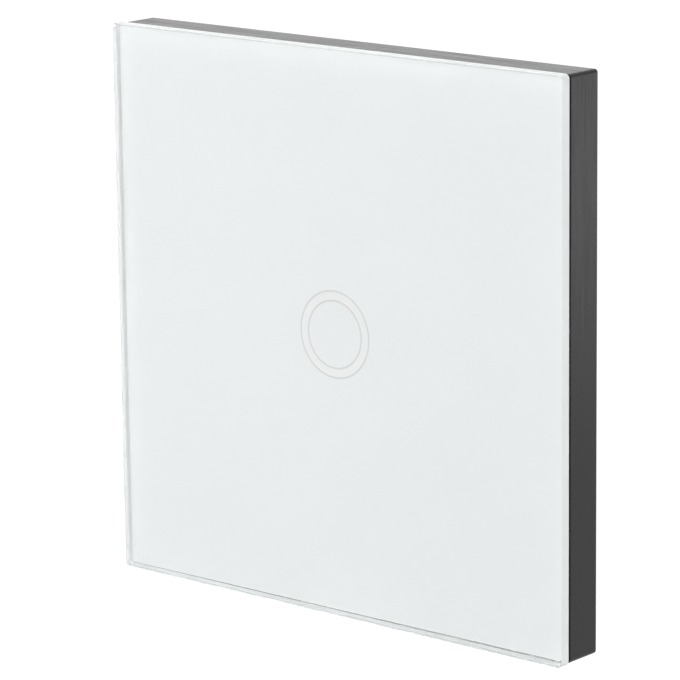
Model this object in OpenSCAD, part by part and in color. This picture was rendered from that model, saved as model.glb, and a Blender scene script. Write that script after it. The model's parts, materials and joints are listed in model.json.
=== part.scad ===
// Touch light switch for a wall box.
// A glass panel on a shallow frame pulls off a module that sits in the wall box.
// The wall lies in the plane y = 0, the front faces -Y, +Z is up. Millimetres.

/* [Glass panel] */
// Width and height of the glass
panel_w = 80; // [78:1:90]
// Thickness of the glass
glass_t = 2.1; // [1.6:0.1:4]
// Radius of the glass corners seen from the front
glass_corner_r = 0.7; // [0.4:0.1:4]
// Width of the ground chamfer along the front edges of the glass
glass_arris = 0.15; // [0.1:0.05:0.4]
// Width of the ground bevel along its back edges
glass_bevel = 0.4; // [0.2:0.05:0.6]
// Thickness of the white enamel behind the glass
enamel_t = 0.05; // [0.03:0.01:0.2]
// Clear margin between the enamel and the bevel of the glass
enamel_margin = 0.02; // [0.01:0.01:0.6]
// Outer diameter of the light ring
ring_d = 12.5; // [11:0.5:16]
// Width of the light ring, outlines included
ring_band = 1.6; // [1:0.05:2]
// Width of the outlines of the ring
ring_line = 0.25; // [0.15:0.05:0.4]

/* [Carrier frame] */
// How far the sides of the frame stand back from the edge of the glass
frame_setback = 0.15; // [0.05:0.05:1]
// Thickness of the side walls
frame_wall = 2; // [1.4:0.1:2.6]
// Thickness of the web behind the glass
frame_web = 1.2; // [0.8:0.1:1.6]
// Radius of the frame corners seen from the front
frame_corner_r = 0.5; // [0.3:0.1:4]
// Rounding of the edge along the wall
frame_edge_r = 0.3; // [0.1:0.1:1.2]
// Thickness of the bonding tape
tape_t = 0.1; // [0.05:0.05:1.2]
// How far the tape stands back from the side of the frame
tape_setback = 1.4; // [0.8:0.1:3]
// Width of the tape
tape_w = 7; // [4:0.5:10]
// Radius of the pegs that hold the panel on the module
peg_r = 1.9; // [1.4:0.1:2.2]
// Clearance of a peg in its bush
peg_fit = 0.05; // [0.03:0.01:0.15]
// Spacing of the pegs across and up
peg_spacing = 62; // [60:0.5:63]
// Width of the notch that a screwdriver lifts the panel by
pry_w = 9; // [5:0.5:14]
// Depth of that notch
pry_depth = 1.4; // [0.8:0.1:2]
// How far the pegs end in front of the wall
peg_end = 0.3; // [0.1:0.1:0.8]
// Width of the ribs between a peg and the side walls
rib_w = 1.2; // [0.8:0.1:1.6]
// Height of those ribs
rib_t = 0.8; // [0.4:0.1:1.2]
// Clearance between the web and the touch board
web_clear = 1.5; // [0.8:0.1:2.5]
// Radius of the corners of the opening in the web
web_corner_r = 3; // [1:0.5:5]

/* [Mounting plate] */
// Thickness of the plate
plate_t = 1; // [0.8:0.1:1.5]
// Clearance between the plate and the inside of the frame
plate_gap = 2.3; // [1:0.1:2.8]
// Radius of the plate corners
plate_corner_r = 3; // [1:0.5:6]
// Spacing of the wall box screws
box_screw_spacing = 60; // [59:0.1:61]
// Width of the slots for the box screws
slot_w = 3.8; // [3.2:0.1:4.4]
// Length of those slots
slot_l = 6.8; // [5:0.1:8]
// Radius of the bush flange
bush_flange_r = 3.4; // [3:0.1:4]
// Thickness of the bush flange
bush_flange_t = 1.4; // [0.8:0.1:1.8]
// Radius of the bush where it passes the plate
bush_r = 2.8; // [2.6:0.1:2.9]
// Radius of a rivet
rivet_r = 1; // [0.7:0.1:1.2]
// Radius of a rivet head
rivet_head_r = 1.5; // [1.3:0.1:1.7]
// Height of a rivet head
rivet_head_t = 0.6; // [0.4:0.1:0.8]
// Distance of a rivet head from the edges of the flange
rivet_edge = 0.1; // [0.05:0.05:0.3]

/* [Module housing] */
// Wall thickness of the housing
housing_wall = 1.6; // [1.2:0.1:2.2]
// Width of the flange that rests on the plate
flange_w = 3.5; // [3.2:0.1:4]
// Thickness of the flange
flange_t = 1; // [0.8:0.1:1.6]
// Radius of the corners of the flange and the lid
flange_corner_r = 1.5; // [0.8:0.1:2]
// Clearance of the housing in the plate
housing_gap = 0.3; // [0.1:0.05:0.4]
// Thickness of the lid
lid_t = 1; // [0.8:0.1:1.6]
// How far the lid overlaps the rim of the housing
lid_lap = 0.2; // [0:0.05:0.3]
// Radius of the screw bosses
boss_r = 2.4; // [2:0.1:2.8]
// Clearance round a boss
boss_gap = 0.3; // [0.2:0.1:0.8]
// Room between a boss and the side wall
side_room = 2.5; // [2.2:0.1:3.5]
// Radius of the module screws
screw_r = 1.1; // [0.8:0.1:1.3]
// Radius of the module screw heads
screw_head_r = 2; // [1.8:0.1:2.3]
// Height of those heads
screw_head_t = 1.2; // [0.8:0.1:1.5]
// Width of the cross slot in those heads
cross_slot_w = 0.5; // [0.3:0.1:0.8]
// Length of that slot
cross_slot_l = 2.4; // [1.6:0.1:3.2]
// Depth of those screws in their bosses
screw_grip = 7; // [5:0.5:10]
// Room below a screw in its boss
screw_room = 0.5; // [0.3:0.1:1]
// Clearance round a screw where it passes through
screw_pass = 0.15; // [0.1:0.05:0.3]
// Clearance of a screw in its thread
thread_fit = 0.03; // [0.02:0.01:0.06]
// Width of a vent slot
vent_w = 1.5; // [1:0.1:2]
// Length of a vent slot
vent_l = 7; // [4:0.5:9]
// Spacing of the vent slots
vent_pitch = 3.75; // [3:0.05:4.5]
// Distance of the vent slots from the rear wall
vent_inset = 1; // [0.5:0.1:3]

/* [Touch board] */
// Thickness of the touch board
touch_board_t = 0.8; // [0.6:0.1:1.2]
// How far the touch board reaches past the screws
touch_edge = 4.5; // [4:0.1:5]
// Radius of the corners of the touch board
touch_corner_r = 1; // [0.5:0.1:3]
// Room between the touch board and the enamel
glass_gap = 2.25; // [1.9:0.05:3]
// Thickness of the copper touch pad
pad_t = 0.1; // [0.05:0.05:0.2]
// Clearance between the touch pad and the light guide
pad_gap = 0.2; // [0.1:0.1:1]
// Wire diameter of the touch spring
spring_wire = 0.3; // [0.25:0.05:0.35]
// Radius of the first turn of the touch spring
spring_r0 = 1.6; // [1.3:0.1:1.8]
// Radius of its last turn
spring_r1 = 3.2; // [3:0.1:3.4]
// Turns of the touch spring
spring_turns = 2; // [1.5:0.5:2.5]
// Clearance between the touch spring and the enamel
spring_gap = 0.05; // [0.02:0.01:0.1]
// Wall of the light guide beside the ring
guide_wall = 0.6; // [0.4:0.1:0.7]
// Clearance between the light guide and the enamel
guide_gap = 0.2; // [0.1:0.05:0.4]
// Length of a light emitting diode
led_l = 1.6; // [1.2:0.1:2]
// Width of a light emitting diode
led_w = 0.8; // [0.6:0.1:0.9]
// Height of a light emitting diode
led_t = 0.6; // [0.4:0.1:0.8]
// Clearance of a diode in the light guide
led_gap = 0.2; // [0.1:0.05:0.25]
// Length of a chip body
chip_l = 4.9; // [3.5:0.1:6]
// Width of a chip body
chip_w = 3.9; // [3:0.1:4.5]
// Height of a chip body
chip_t = 1.4; // [1:0.1:1.6]
// Spacing of chip legs
chip_pitch = 1.27; // [0.8:0.01:1.3]
// Width of a chip leg
leg_w = 0.4; // [0.2:0.05:0.5]
// How far the legs reach out of the chip body
leg_l = 0.9; // [0.6:0.1:1.2]
// Thickness of a chip leg
leg_t = 0.2; // [0.15:0.05:0.4]
// Room under a chip body
chip_lift = 0.1; // [0.05:0.05:0.15]
// Room between the light guide and the parts beside it
guide_room = 0.7; // [0.5:0.1:1.5]
// Length of a small resistor or capacitor
chip_part_l = 1.6; // [1:0.1:2]
// Width of a small resistor or capacitor
chip_part_w = 0.8; // [0.5:0.1:1]
// Height of a small resistor or capacitor
chip_part_t = 0.5; // [0.3:0.1:0.9]
// Spacing of the small parts in a row
chip_part_pitch = 2.5; // [2.2:0.1:3]

/* [Link between the boards] */
// Spacing of the link pins
link_pitch = 2.54; // [2:0.01:2.6]
// Side of a link pin
link_pin = 0.64; // [0.5:0.02:0.7]
// Clearance round a link pin
link_gap = 0.08; // [0.05:0.01:0.15]
// Distance of the link from the edge of the touch board
link_edge = 2; // [1.8:0.1:2.4]
// Width of the link socket
socket_w = 2.4; // [2:0.1:2.8]
// Height of the link socket
socket_t = 2.2; // [1.6:0.1:2.6]
// How far the socket reaches past its last pin
socket_end = 1.3; // [1:0.1:2]
// Floor of the link socket
socket_floor = 0.3; // [0.2:0.1:0.6]
// Clearance of the link socket in the lid
socket_gap = 0.25; // [0.1:0.05:0.5]

/* [Power board] */
// Depth of the power board behind the wall plane
board_depth = 1; // [1:0.1:2]
// Thickness of the power board
board_t = 1.2; // [1:0.1:1.6]
// Clearance between the power board and the housing
board_gap = 0.4; // [0.2:0.1:0.6]
// Radius of the spacers between the lid and the power board
spacer_r = 2.2; // [1.9:0.1:2.4]
// Radius of a component lead
lead_r = 0.35; // [0.25:0.05:0.45]
// Clearance round a lead in its hole
lead_gap = 0.1; // [0.05:0.05:0.2]
// Radius of a solder joint
solder_r = 0.9; // [0.7:0.1:1]
// Height of a solder joint
solder_t = 0.8; // [0.5:0.1:1]
// Gap between neighbouring components
part_gap = 0.8; // [0.5:0.1:1]
// Length of the film capacitor
film_l = 13; // [10:0.5:15]
// Width of the film capacitor
film_w = 6; // [4.5:0.5:7]
// Height of the film capacitor
film_h = 11; // [8:0.5:12.5]
// Radius of its corners
film_corner_r = 0.6; // [0.3:0.1:1.5]
// Distance of its leads from its ends
film_lead_inset = 1.5; // [1:0.1:3]
// Radius of the electrolytic capacitor
can_r = 4; // [3:0.1:4.4]
// Height of the electrolytic capacitor
can_h = 11.5; // [8:0.5:12.5]
// Height of the groove rolled into the can
can_groove_y = 1.6; // [1:0.1:2.5]
// Depth of that groove
can_groove = 0.4; // [0.2:0.1:0.6]
// Bevel along the top of the can
can_bevel = 0.4; // [0.2:0.1:0.8]
// Width of the rim round the top of the can
can_rim = 0.5; // [0.3:0.1:1]
// Depth of the top inside that rim
can_dish = 0.2; // [0.1:0.1:0.4]
// Spacing of its leads
can_lead = 3.5; // [2.5:0.5:4]
// Radius of the varistor disc
varistor_r = 3.5; // [2.5:0.1:4.2]
// Thickness of the varistor disc
varistor_t = 4; // [3:0.1:5]
// Height of the varistor foot
varistor_foot = 1.2; // [0.8:0.1:2]
// How far the foot stands in from the rim of the disc
varistor_foot_inset = 0.5; // [0.3:0.1:1]
// Bevel round the edges of the disc
varistor_bevel = 0.6; // [0.3:0.1:1]
// Distance of its leads from the rim of the disc
varistor_lead_inset = 1; // [0.5:0.1:1.5]
// Length of the fuse
fuse_l = 8.4; // [7:0.1:9]
// Width of the fuse
fuse_w = 4.2; // [3:0.1:5]
// Height of the fuse
fuse_h = 7.6; // [6:0.1:10]
// Radius of its corners
fuse_corner_r = 0.8; // [0.3:0.1:1.5]
// Spacing of its leads
fuse_lead = 5; // [3.5:0.1:5.5]
// Radius of the choke flanges
choke_r = 4; // [3.2:0.1:4.4]
// Height of the choke
choke_h = 8; // [6:0.5:11]
// Thickness of a choke flange
choke_flange = 1.2; // [0.8:0.1:1.5]
// Radius of the choke core inside its winding
choke_core_r = 1.8; // [1.2:0.1:2.2]
// How far the choke winding lies below the flanges
choke_recess = 0.4; // [0.2:0.1:0.6]

/* [Relay] */
// Length of the relay case
relay_l = 19; // [18:0.1:21]
// Width of the relay case
relay_w = 11; // [10:0.1:12]
// Room above the open armature inside the case
relay_headroom = 0.4; // [0.3:0.1:1]
// Wall of the relay case
relay_wall = 0.7; // [0.5:0.1:0.9]
// Thickness of the relay base
relay_base_t = 1.6; // [1.2:0.1:2]
// Distance of the relay leads from the ends of the case
relay_pin_end = 1.6; // [1.2:0.1:3]
// Distance of the relay leads from the sides of the case
relay_pin_side = 1.8; // [1.2:0.1:3]
// Thickness of the iron yoke
yoke_t = 1; // [0.8:0.1:1.3]
// Width of the yoke and of the armature
yoke_w = 6; // [4:0.1:7]
// Clearance between the yoke and the relay case
yoke_gap = 0.5; // [0.3:0.1:0.8]
// Radius of the coil core
core_r = 1.5; // [1.2:0.1:1.8]
// Radius of the pole face on the core
pole_r = 2.4; // [2:0.1:3]
// Thickness of the pole face
pole_t = 0.5; // [0.3:0.1:0.8]
// Wall of the bobbin tube
bobbin_wall = 0.5; // [0.4:0.1:0.8]
// Thickness of a bobbin flange
bobbin_flange_t = 0.6; // [0.4:0.1:1]
// Radius of the bobbin flanges
bobbin_flange_r = 3.9; // [3.5:0.1:4]
// Height of the bobbin
bobbin_h = 5.6; // [5:0.1:7]
// Depth of the winding below the bobbin flanges
winding_recess = 0.4; // [0.2:0.1:0.6]
// Gap between the yoke and the bobbin
coil_gap = 0.4; // [0.2:0.1:0.6]
// Thickness of the armature
armature_t = 0.9; // [0.7:0.1:1.2]
// Clearance under the closed armature
armature_gap = 0.05; // [0.03:0.01:0.1]
// Angle that the armature swings through
armature_swing = 4; // [3:0.1:5]
// Thickness of the contact leaf
leaf_t = 0.25; // [0.15:0.05:0.3]
// Width of the contact leaf
leaf_w = 4; // [3:0.1:5]
// How far the contact leaf reaches past its contact
leaf_end = 0.3; // [0.1:0.1:0.5]
// Radius of a contact
contact_r = 1; // [0.8:0.1:1.1]
// Height of a contact
contact_t = 0.7; // [0.5:0.1:0.9]
// Radius of the shank of a contact
contact_shank_r = 0.6; // [0.4:0.05:0.7]
// Distance from the contacts to the end of the case
contact_edge = 2.6; // [2.3:0.1:3]
// Thickness of the contact post
post_t = 0.6; // [0.4:0.1:0.9]
// Width of the contact post
post_w = 3; // [2.4:0.1:4]

/* [Terminals] */
// Spacing of the terminals
terminal_pitch = 8; // [7.8:0.1:9]
// Wall at both ends of the terminal block
block_end_wall = 1.8; // [1.2:0.1:2.2]
// Distance between the power board and the terminal block
block_standoff = 3.8; // [3:0.1:5]
// Depth of the block in front of the clamps
block_front = 2; // [1:0.1:3]
// Floor of the block below the clamps
block_floor = 1.6; // [1.2:0.1:2.4]
// Roof of the block above the contact bars
block_roof = 0.9; // [0.7:0.1:1.5]
// Clearance of the block noses in their windows
nose_gap = 0.15; // [0.1:0.05:0.25]
// Wall round the holes in the noses
nose_wall = 0.9; // [0.6:0.1:0.9]
// Width of a clamp
clamp_w = 5.6; // [5.2:0.1:5.8]
// Height of a clamp
clamp_h = 5.2; // [4.8:0.1:6]
// Wall of a clamp
clamp_wall = 0.8; // [0.6:0.1:0.9]
// Thickness of the clamp at the screw
clamp_thread = 1.4; // [1:0.1:2]
// Clearance round a clamp
clamp_gap = 0.2; // [0.1:0.05:0.25]
// Opening of a clamp for the wire
wire_room = 3.5; // [3.4:0.1:4.5]
// Radius of the wire entries
wire_r = 1.6; // [1.2:0.05:1.65]
// Travel of a clamp
clamp_travel = 2.5; // [1.5:0.1:3]
// Thickness of a contact bar
bar_t = 0.8; // [0.6:0.1:1.2]
// Width of a contact bar
bar_w = 3; // [2:0.1:3.2]
// Clearance round a contact bar
bar_gap = 0.3; // [0.2:0.05:0.35]
// Radius of a terminal screw
terminal_screw_r = 1.45; // [1.2:0.05:1.6]
// Radius of its head
terminal_head_r = 2.3; // [2:0.1:2.5]
// Height of its head
terminal_head_t = 1.6; // [1.2:0.1:2]
// Width of the slot in its head
driver_slot_w = 0.6; // [0.4:0.1:0.8]
// Depth of that slot
driver_slot_t = 0.8; // [0.5:0.1:1]
// Clearance of the terminal screws
terminal_fit = 0.1; // [0.05:0.05:0.15]
// Seat under the head of a terminal screw
terminal_seat = 0.6; // [0.5:0.1:1]
// Depth of a terminal screw head below the rear face
terminal_recess = 0.2; // [0.1:0.1:1]

/* [Hidden] */
$fn = 64;
TERMINALS = ["line", "neutral", "lamp"];

// Depths, counted from the wall plane
flange_y = -plate_t - flange_t;
lid_y = flange_y - lid_t;
touch_y = lid_y - touch_board_t;
enamel_back_y = touch_y - glass_gap;
glass_back_y = enamel_back_y - enamel_t;
glass_front_y = glass_back_y - glass_t;
frame_front_y = enamel_back_y + tape_t;
web_back_y = frame_front_y + frame_web;

// Least radius of a corner that is drawn in by a bevel
sharp_r = 0.1;
// Thickness of the slices that a rounded edge is stretched over
thin_slice = 0.01;
// How far a cut runs past the faces that it opens
past = 1;
// How far a rib runs into the wall that it stands on
rib_sink = 0.1;

// Half widths of the front panel and the plate
panel_half = panel_w / 2;
frame_half = panel_half - frame_setback;
frame_inner = frame_half - frame_wall;
tape_half = frame_half - tape_setback;
plate_half = frame_inner - plate_gap;
peg_c = peg_spacing / 2;

// Radii of the light ring
ring_r1 = ring_d / 2;
ring_r0 = ring_r1 - ring_band;
ring_mid = (ring_r1 + ring_r0) / 2;
guide_r1 = ring_r1 + guide_wall;
guide_r0 = ring_r0 - guide_wall;

// Terminal block: widths follow from the terminal pitch
cell_half = clamp_w / 2 + clamp_gap;
block_half = terminal_pitch + cell_half + block_end_wall;
boss_c = block_half + boss_gap + boss_r;
inner_half = boss_c + boss_r + side_room;
body_half = inner_half + housing_wall;
corner_cut = 2 * body_half - 2 * boss_c - sqrt(2) * (boss_r + boss_gap + housing_wall);
inner_cut = corner_cut - housing_wall * (2 - sqrt(2));
lid_half = body_half + lid_lap;
flange_half = body_half + flange_w;
rivet_c = flange_half - rivet_head_r - rivet_edge;
touch_half = boss_c + touch_edge;
web_open = touch_half + web_clear;
board_half = inner_half - board_gap;
board_cut = inner_cut - board_gap * (2 - sqrt(2));

// Terminal block: depths follow from the clamp and the screw
board_y = board_depth + board_t;
block_y0 = board_y + block_standoff;
clamp_y0 = block_y0 + block_front;
wire_y0 = clamp_y0 + clamp_wall;
bar_y0 = wire_y0 + wire_room;
bar_y1 = bar_y0 + bar_t;
clamp_inner_y1 = bar_y1 + bar_gap;
clamp_y1 = clamp_inner_y1 + clamp_thread;
cell_y1 = clamp_y1 + clamp_travel + clamp_gap;
seat_y = cell_y1 + terminal_seat;
head_y0 = seat_y + terminal_fit;
head_y1 = head_y0 + terminal_head_t;
wire_y = wire_y0 + wire_room / 2;

// Relay stack above the power board
relay_floor = board_y + relay_base_t;
bobbin_y0 = relay_floor + yoke_t;
pole_y = bobbin_y0 + bobbin_h + pole_t;
armature_y = pole_y + armature_gap;
leaf_y = armature_y + armature_t;

// The armature and the contacts along the relay
relay_x0 = -relay_l / 2;
yoke_x = relay_x0 + relay_wall + yoke_gap;
coil_x = yoke_x + yoke_t + coil_gap + bobbin_flange_r;
contact_x = relay_l / 2 - relay_wall - contact_edge;
leaf_x1 = contact_x + contact_r + leaf_end;
armature_x1 = coil_x + bobbin_flange_r;
leaf_x0 = coil_x - pole_r;
leaf_rise = (leaf_x1 - yoke_x) * sin(armature_swing);
relay_top = leaf_y + leaf_t + contact_t / 2 + leaf_rise + relay_headroom + relay_wall;

// Depth of the module
tallest = max(relay_top, board_y + max(film_h, can_h, fuse_h, choke_h));
varistor_top = board_y + varistor_foot + 2 * varistor_r;
rear_y = max(head_y1 + terminal_recess, max(tallest, varistor_top) + part_gap + housing_wall);
rear_inner_y = rear_y - housing_wall;

// Heights in the terminal block
block_z0 = -inner_half;
cell_z0 = block_z0 + block_floor;
cell_z1 = cell_z0 + clamp_h + 2 * clamp_gap;
bar_z1 = cell_z1 + bar_t + bar_gap;
block_z1 = bar_z1 + bar_gap + block_roof;
clamp_z = (cell_z0 + cell_z1) / 2;

// Rows of components on the power board
row_a_z = block_z1 + part_gap;
row_a_w = fuse_l + 2 * can_r + 2 * choke_r + 2 * part_gap;
row_a_h = max(fuse_w, 2 * can_r, 2 * choke_r);
fuse_x = -row_a_w / 2 + fuse_l / 2;
can_x = -row_a_w / 2 + fuse_l + part_gap + can_r;
choke_x = row_a_w / 2 - choke_r;
fuse_z = row_a_z + fuse_w / 2;
can_z = row_a_z + can_r;
choke_z = row_a_z + choke_r;
row_b_z = row_a_z + row_a_h + part_gap;
row_b_w = film_l + 2 * varistor_r + part_gap;
row_b_h = max(film_w, varistor_t);
film_x = -row_b_w / 2 + film_l / 2;
varistor_x = row_b_w / 2 - varistor_r;
film_z = row_b_z + film_w / 2;
varistor_z = row_b_z + varistor_t / 2;
relay_z = row_b_z + row_b_h + part_gap + relay_w / 2;
relay_pin_x = relay_l / 2 - relay_pin_end;
relay_pin_z = relay_w / 2 - relay_pin_side;

// Leads of the components on the power board, as x and z
LEADS = concat(
    [for (s = [-1, 1]) [fuse_x + s * fuse_lead / 2, fuse_z]],
    [for (s = [-1, 1]) [can_x + s * can_lead / 2, can_z]],
    [for (s = [-1, 1]) [choke_x + s * choke_core_r, choke_z]],
    [for (s = [-1, 1]) [film_x + s * (film_l / 2 - film_lead_inset), film_z]],
    [for (s = [-1, 1]) [varistor_x + s * (varistor_r - varistor_lead_inset), varistor_z]],
    [for (sx = [-1, 1], sz = [-1, 1]) [sx * relay_pin_x, relay_z + sz * relay_pin_z]]
);

// Link between the boards
link_z = touch_half - link_edge;
link_hole = link_pin + 2 * link_gap;
LINK_X = [for (i = [-2 : 2]) i * link_pitch];
socket_half = 2 * link_pitch + socket_end;

// Points of the touch spring: straight, a widening coil, straight again
spring_y0 = touch_y - pad_t;
spring_y1 = enamel_back_y + spring_gap;
spring_lead = 1.5 * spring_wire;
spring_turn = 0.4 * spring_wire;
coil_y0 = spring_y0 - spring_lead;
coil_y1 = spring_y1 + spring_lead;
SPRING_STEPS = 24;
coil_count = round(spring_turns * SPRING_STEPS);
function coil_at(i) = let (f = i / coil_count, a = 360 * i / SPRING_STEPS,
    r = spring_r0 + (spring_r1 - spring_r0) * f)
    [r * cos(a), coil_y0 + (coil_y1 - coil_y0) * f, r * sin(a)];
COIL = [for (i = [0 : coil_count]) coil_at(i)];
coil_end = COIL[coil_count];
SPRING = concat(
    [[spring_r0, spring_y0, 0], [spring_r0, coil_y0 + spring_turn, 0]],
    [for (i = [1 : coil_count - 1]) COIL[i]],
    [[coil_end[0], coil_y1 - spring_turn, coil_end[2]], [coil_end[0], spring_y1, coil_end[2]]]
);
spring_gap_self = min([for (i = [0 : coil_count - SPRING_STEPS], j = [i + SPRING_STEPS / 2 : coil_count])
    norm(COIL[i] - COIL[j]) - spring_wire]);
echo(least_gap_of_the_touch_spring = spring_gap_self);

// Extrudes a flat shape, drawn in x and z, from depth y0 to depth y1
module along_y(y0, y1) {
    translate([0, y1, 0]) rotate([90, 0, 0]) linear_extrude(height = y1 - y0) children();
}

// Round bar along the depth
module rod_y(r, y0, y1) {
    translate([0, y1, 0]) rotate([90, 0, 0]) cylinder(r = r, h = y1 - y0);
}

// Box between two corners
module box(a, b) {
    translate(a) cube(b - a);
}

// Box of width w and height h round the depth axis
module bar_y(w, h, y0, y1) {
    box([-w / 2, y0, -h / 2], [w / 2, y1, h / 2]);
}

module at(x, z) {
    translate([x, 0, z]) children();
}

module four(c) {
    for (sx = [-1, 1], sz = [-1, 1]) at(sx * c, sz * c) children();
}

// Square with round corners
module round_square(half, r) {
    square([2 * half, 2 * (half - r)], center = true);
    square([2 * (half - r), 2 * half], center = true);
    for (sx = [-1, 1], sy = [-1, 1]) translate([sx * (half - r), sy * (half - r)]) circle(r = r);
}

// Rectangle with round corners
module round_rect(w, h, r) {
    square([w, h - 2 * r], center = true);
    square([w - 2 * r, h], center = true);
    for (sx = [-1, 1], sy = [-1, 1]) translate([sx * (w / 2 - r), sy * (h / 2 - r)]) circle(r = r);
}

// Square with cut corners
module cut_square(half, cut) {
    c = half - cut;
    polygon([[half, -c], [half, c], [c, half], [-c, half], [-half, c], [-half, -c], [-c, -half], [c, -half]]);
}

// Slot with round ends, along x
module slot(w, l) {
    square([l - w, w], center = true);
    for (s = [-1, 1]) translate([s * (l - w) / 2, 0]) circle(d = w);
}

// Tube swept along points, closed at both ends
module sweep(points, r, sides) {
    n = len(points);
    dirs = [for (i = [0 : n - 1]) let (d = points[min(i + 1, n - 1)] - points[max(i - 1, 0)]) d / norm(d)];
    rings = [for (i = [0 : n - 1]) let (d = dirs[i],
        axis = [-points[i][0], 0, -points[i][2]],
        u0 = axis - d * (axis * d), u = u0 / norm(u0), v = cross(d, u))
        for (k = [0 : sides - 1]) points[i] + r * (cos(360 * k / sides) * u + sin(360 * k / sides) * v)];
    walls = [for (i = [0 : n - 2], k = [0 : sides - 1]) let (a = i * sides + k, b = i * sides + (k + 1) % sides)
        each [[a, b, a + sides], [b, b + sides, a + sides]]];
    ends = [for (k = [1 : sides - 2]) each [[0, k + 1, k],
        [(n - 1) * sides, (n - 1) * sides + k, (n - 1) * sides + k + 1]]];
    polyhedron(points = rings, faces = [for (f = concat(walls, ends)) [f[0], f[2], f[1]]]);
}

// Chip with two rows of legs, standing on the plane y, its body towards -Y
module chip(y, legs) {
    bar_y(chip_l, chip_w, y - chip_t, y - chip_lift);
    for (i = [0 : legs - 1], s = [-1, 1]) {
        at((i - (legs - 1) / 2) * chip_pitch, s * (chip_w + leg_l) / 2) bar_y(leg_w, leg_l, y - leg_t, y);
    }
}

// Small resistor or capacitor with its two metal ends, on the plane y, towards -Y
module chip_part(y) {
    bar_y(chip_part_l, chip_part_w, y - chip_part_t, y);
}

// Outline of the glass, drawn in by a bevel or a margin
module inner_square(inset) {
    round_square(panel_half - inset, max(glass_corner_r - inset, sharp_r));
}

module glass_panel() {
    color([0.9, 0.95, 0.95, 0.5]) hull($fn = 32) {
        along_y(glass_front_y + glass_arris, glass_back_y - glass_bevel)
            round_square(panel_half, glass_corner_r);
        along_y(glass_front_y, glass_front_y + glass_arris) inner_square(glass_arris);
        along_y(glass_back_y - glass_bevel, glass_back_y) inner_square(glass_bevel);
    }
}

module enamel_coat() {
    color([0.93, 0.94, 0.94]) {
        along_y(glass_back_y, enamel_back_y) difference() {
            inner_square(glass_bevel + enamel_margin);
            circle(r = ring_r1);
        }
        rod_y(ring_r0, glass_back_y, enamel_back_y);
    }
}

module ring_window() {
    color([0.95, 0.96, 0.96]) along_y(glass_back_y, enamel_back_y) difference() {
        circle(r = ring_r1 - ring_line);
        circle(r = ring_r0 + ring_line);
    }
}

module bonding_tape() {
    color([0.1, 0.1, 0.1]) along_y(enamel_back_y, frame_front_y) difference() {
        square(2 * tape_half, center = true);
        square(2 * (tape_half - tape_w), center = true);
    }
}

module frame_shell() {
    hull($fn = 32) {
        along_y(frame_front_y, -frame_edge_r) round_square(frame_half, frame_corner_r);
        for (a = [30 : 30 : 90]) {
            inset = frame_edge_r * (1 - cos(a));
            y = -frame_edge_r * (1 - sin(a));
            along_y(y - thin_slice, y) round_square(frame_half - inset, max(frame_corner_r - inset, sharp_r));
        }
    }
}

module carrier_frame() {
    rib_end = frame_inner + rib_sink;
    color([0.28, 0.28, 0.29]) {
        difference() {
            frame_shell();
            along_y(web_back_y, past) square(2 * frame_inner, center = true);
            along_y(frame_front_y - past, web_back_y + past) round_square(web_open, web_corner_r);
            box([-pry_w / 2, -pry_depth, -frame_half - past], [pry_w / 2, past, -frame_inner + past]);
        }
        four(peg_c) {
            rod_y(peg_r, web_back_y, -peg_end);
        }
        for (sx = [-1, 1], sz = [-1, 1]) {
            mirror([sx < 0 ? 1 : 0, 0, 0]) mirror([0, 0, sz < 0 ? 1 : 0]) {
                box([peg_c, web_back_y - rib_sink, peg_c - rib_w / 2],
                    [rib_end, web_back_y + rib_t, peg_c + rib_w / 2]);
                box([peg_c - rib_w / 2, web_back_y - rib_sink, peg_c],
                    [peg_c + rib_w / 2, web_back_y + rib_t, rib_end]);
            }
        }
    }
}

module mounting_plate() {
    color([0.72, 0.73, 0.74]) along_y(-plate_t, 0) difference() {
        round_square(plate_half, plate_corner_r);
        cut_square(body_half + housing_gap, corner_cut + housing_gap * (2 - sqrt(2)));
        for (s = [-1, 1]) {
            translate([s * box_screw_spacing / 2, 0]) slot(slot_w, slot_l);
            translate([0, s * box_screw_spacing / 2]) rotate(90) slot(slot_w, slot_l);
        }
        for (sx = [-1, 1], sy = [-1, 1]) {
            translate([sx * peg_c, sy * peg_c]) circle(r = bush_r);
            translate([sx * rivet_c, sy * rivet_c]) circle(r = rivet_r);
        }
    }
}

module snap_bushes() {
    color([0.85, 0.85, 0.82]) four(peg_c) difference() {
        union() {
            rod_y(bush_flange_r, -plate_t - bush_flange_t, -plate_t);
            rod_y(bush_r, -plate_t - bush_flange_t, 0);
        }
        rod_y(peg_r + peg_fit, -plate_t - bush_flange_t - past, past);
    }
}

module plate_rivets() {
    color([0.8, 0.8, 0.8]) four(rivet_c) {
        rod_y(rivet_r, flange_y, 0);
        rod_y(rivet_head_r, flange_y - rivet_head_t, flange_y);
    }
}

// Outlines of the two noses of the terminal block, grown by g
module rear_nose(g, y0, y1) {
    half = terminal_pitch + terminal_head_r + terminal_fit + nose_wall + g;
    tall = terminal_head_r + terminal_fit + nose_wall + g;
    box([-half, y0, clamp_z - tall], [half, y1, clamp_z + tall]);
}

module wire_nose(g, z0, z1) {
    half = terminal_pitch + wire_r + nose_wall + g;
    deep = wire_r + nose_wall + g;
    box([-half, wire_y - deep, z0], [half, wire_y + deep, z1]);
}

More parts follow.
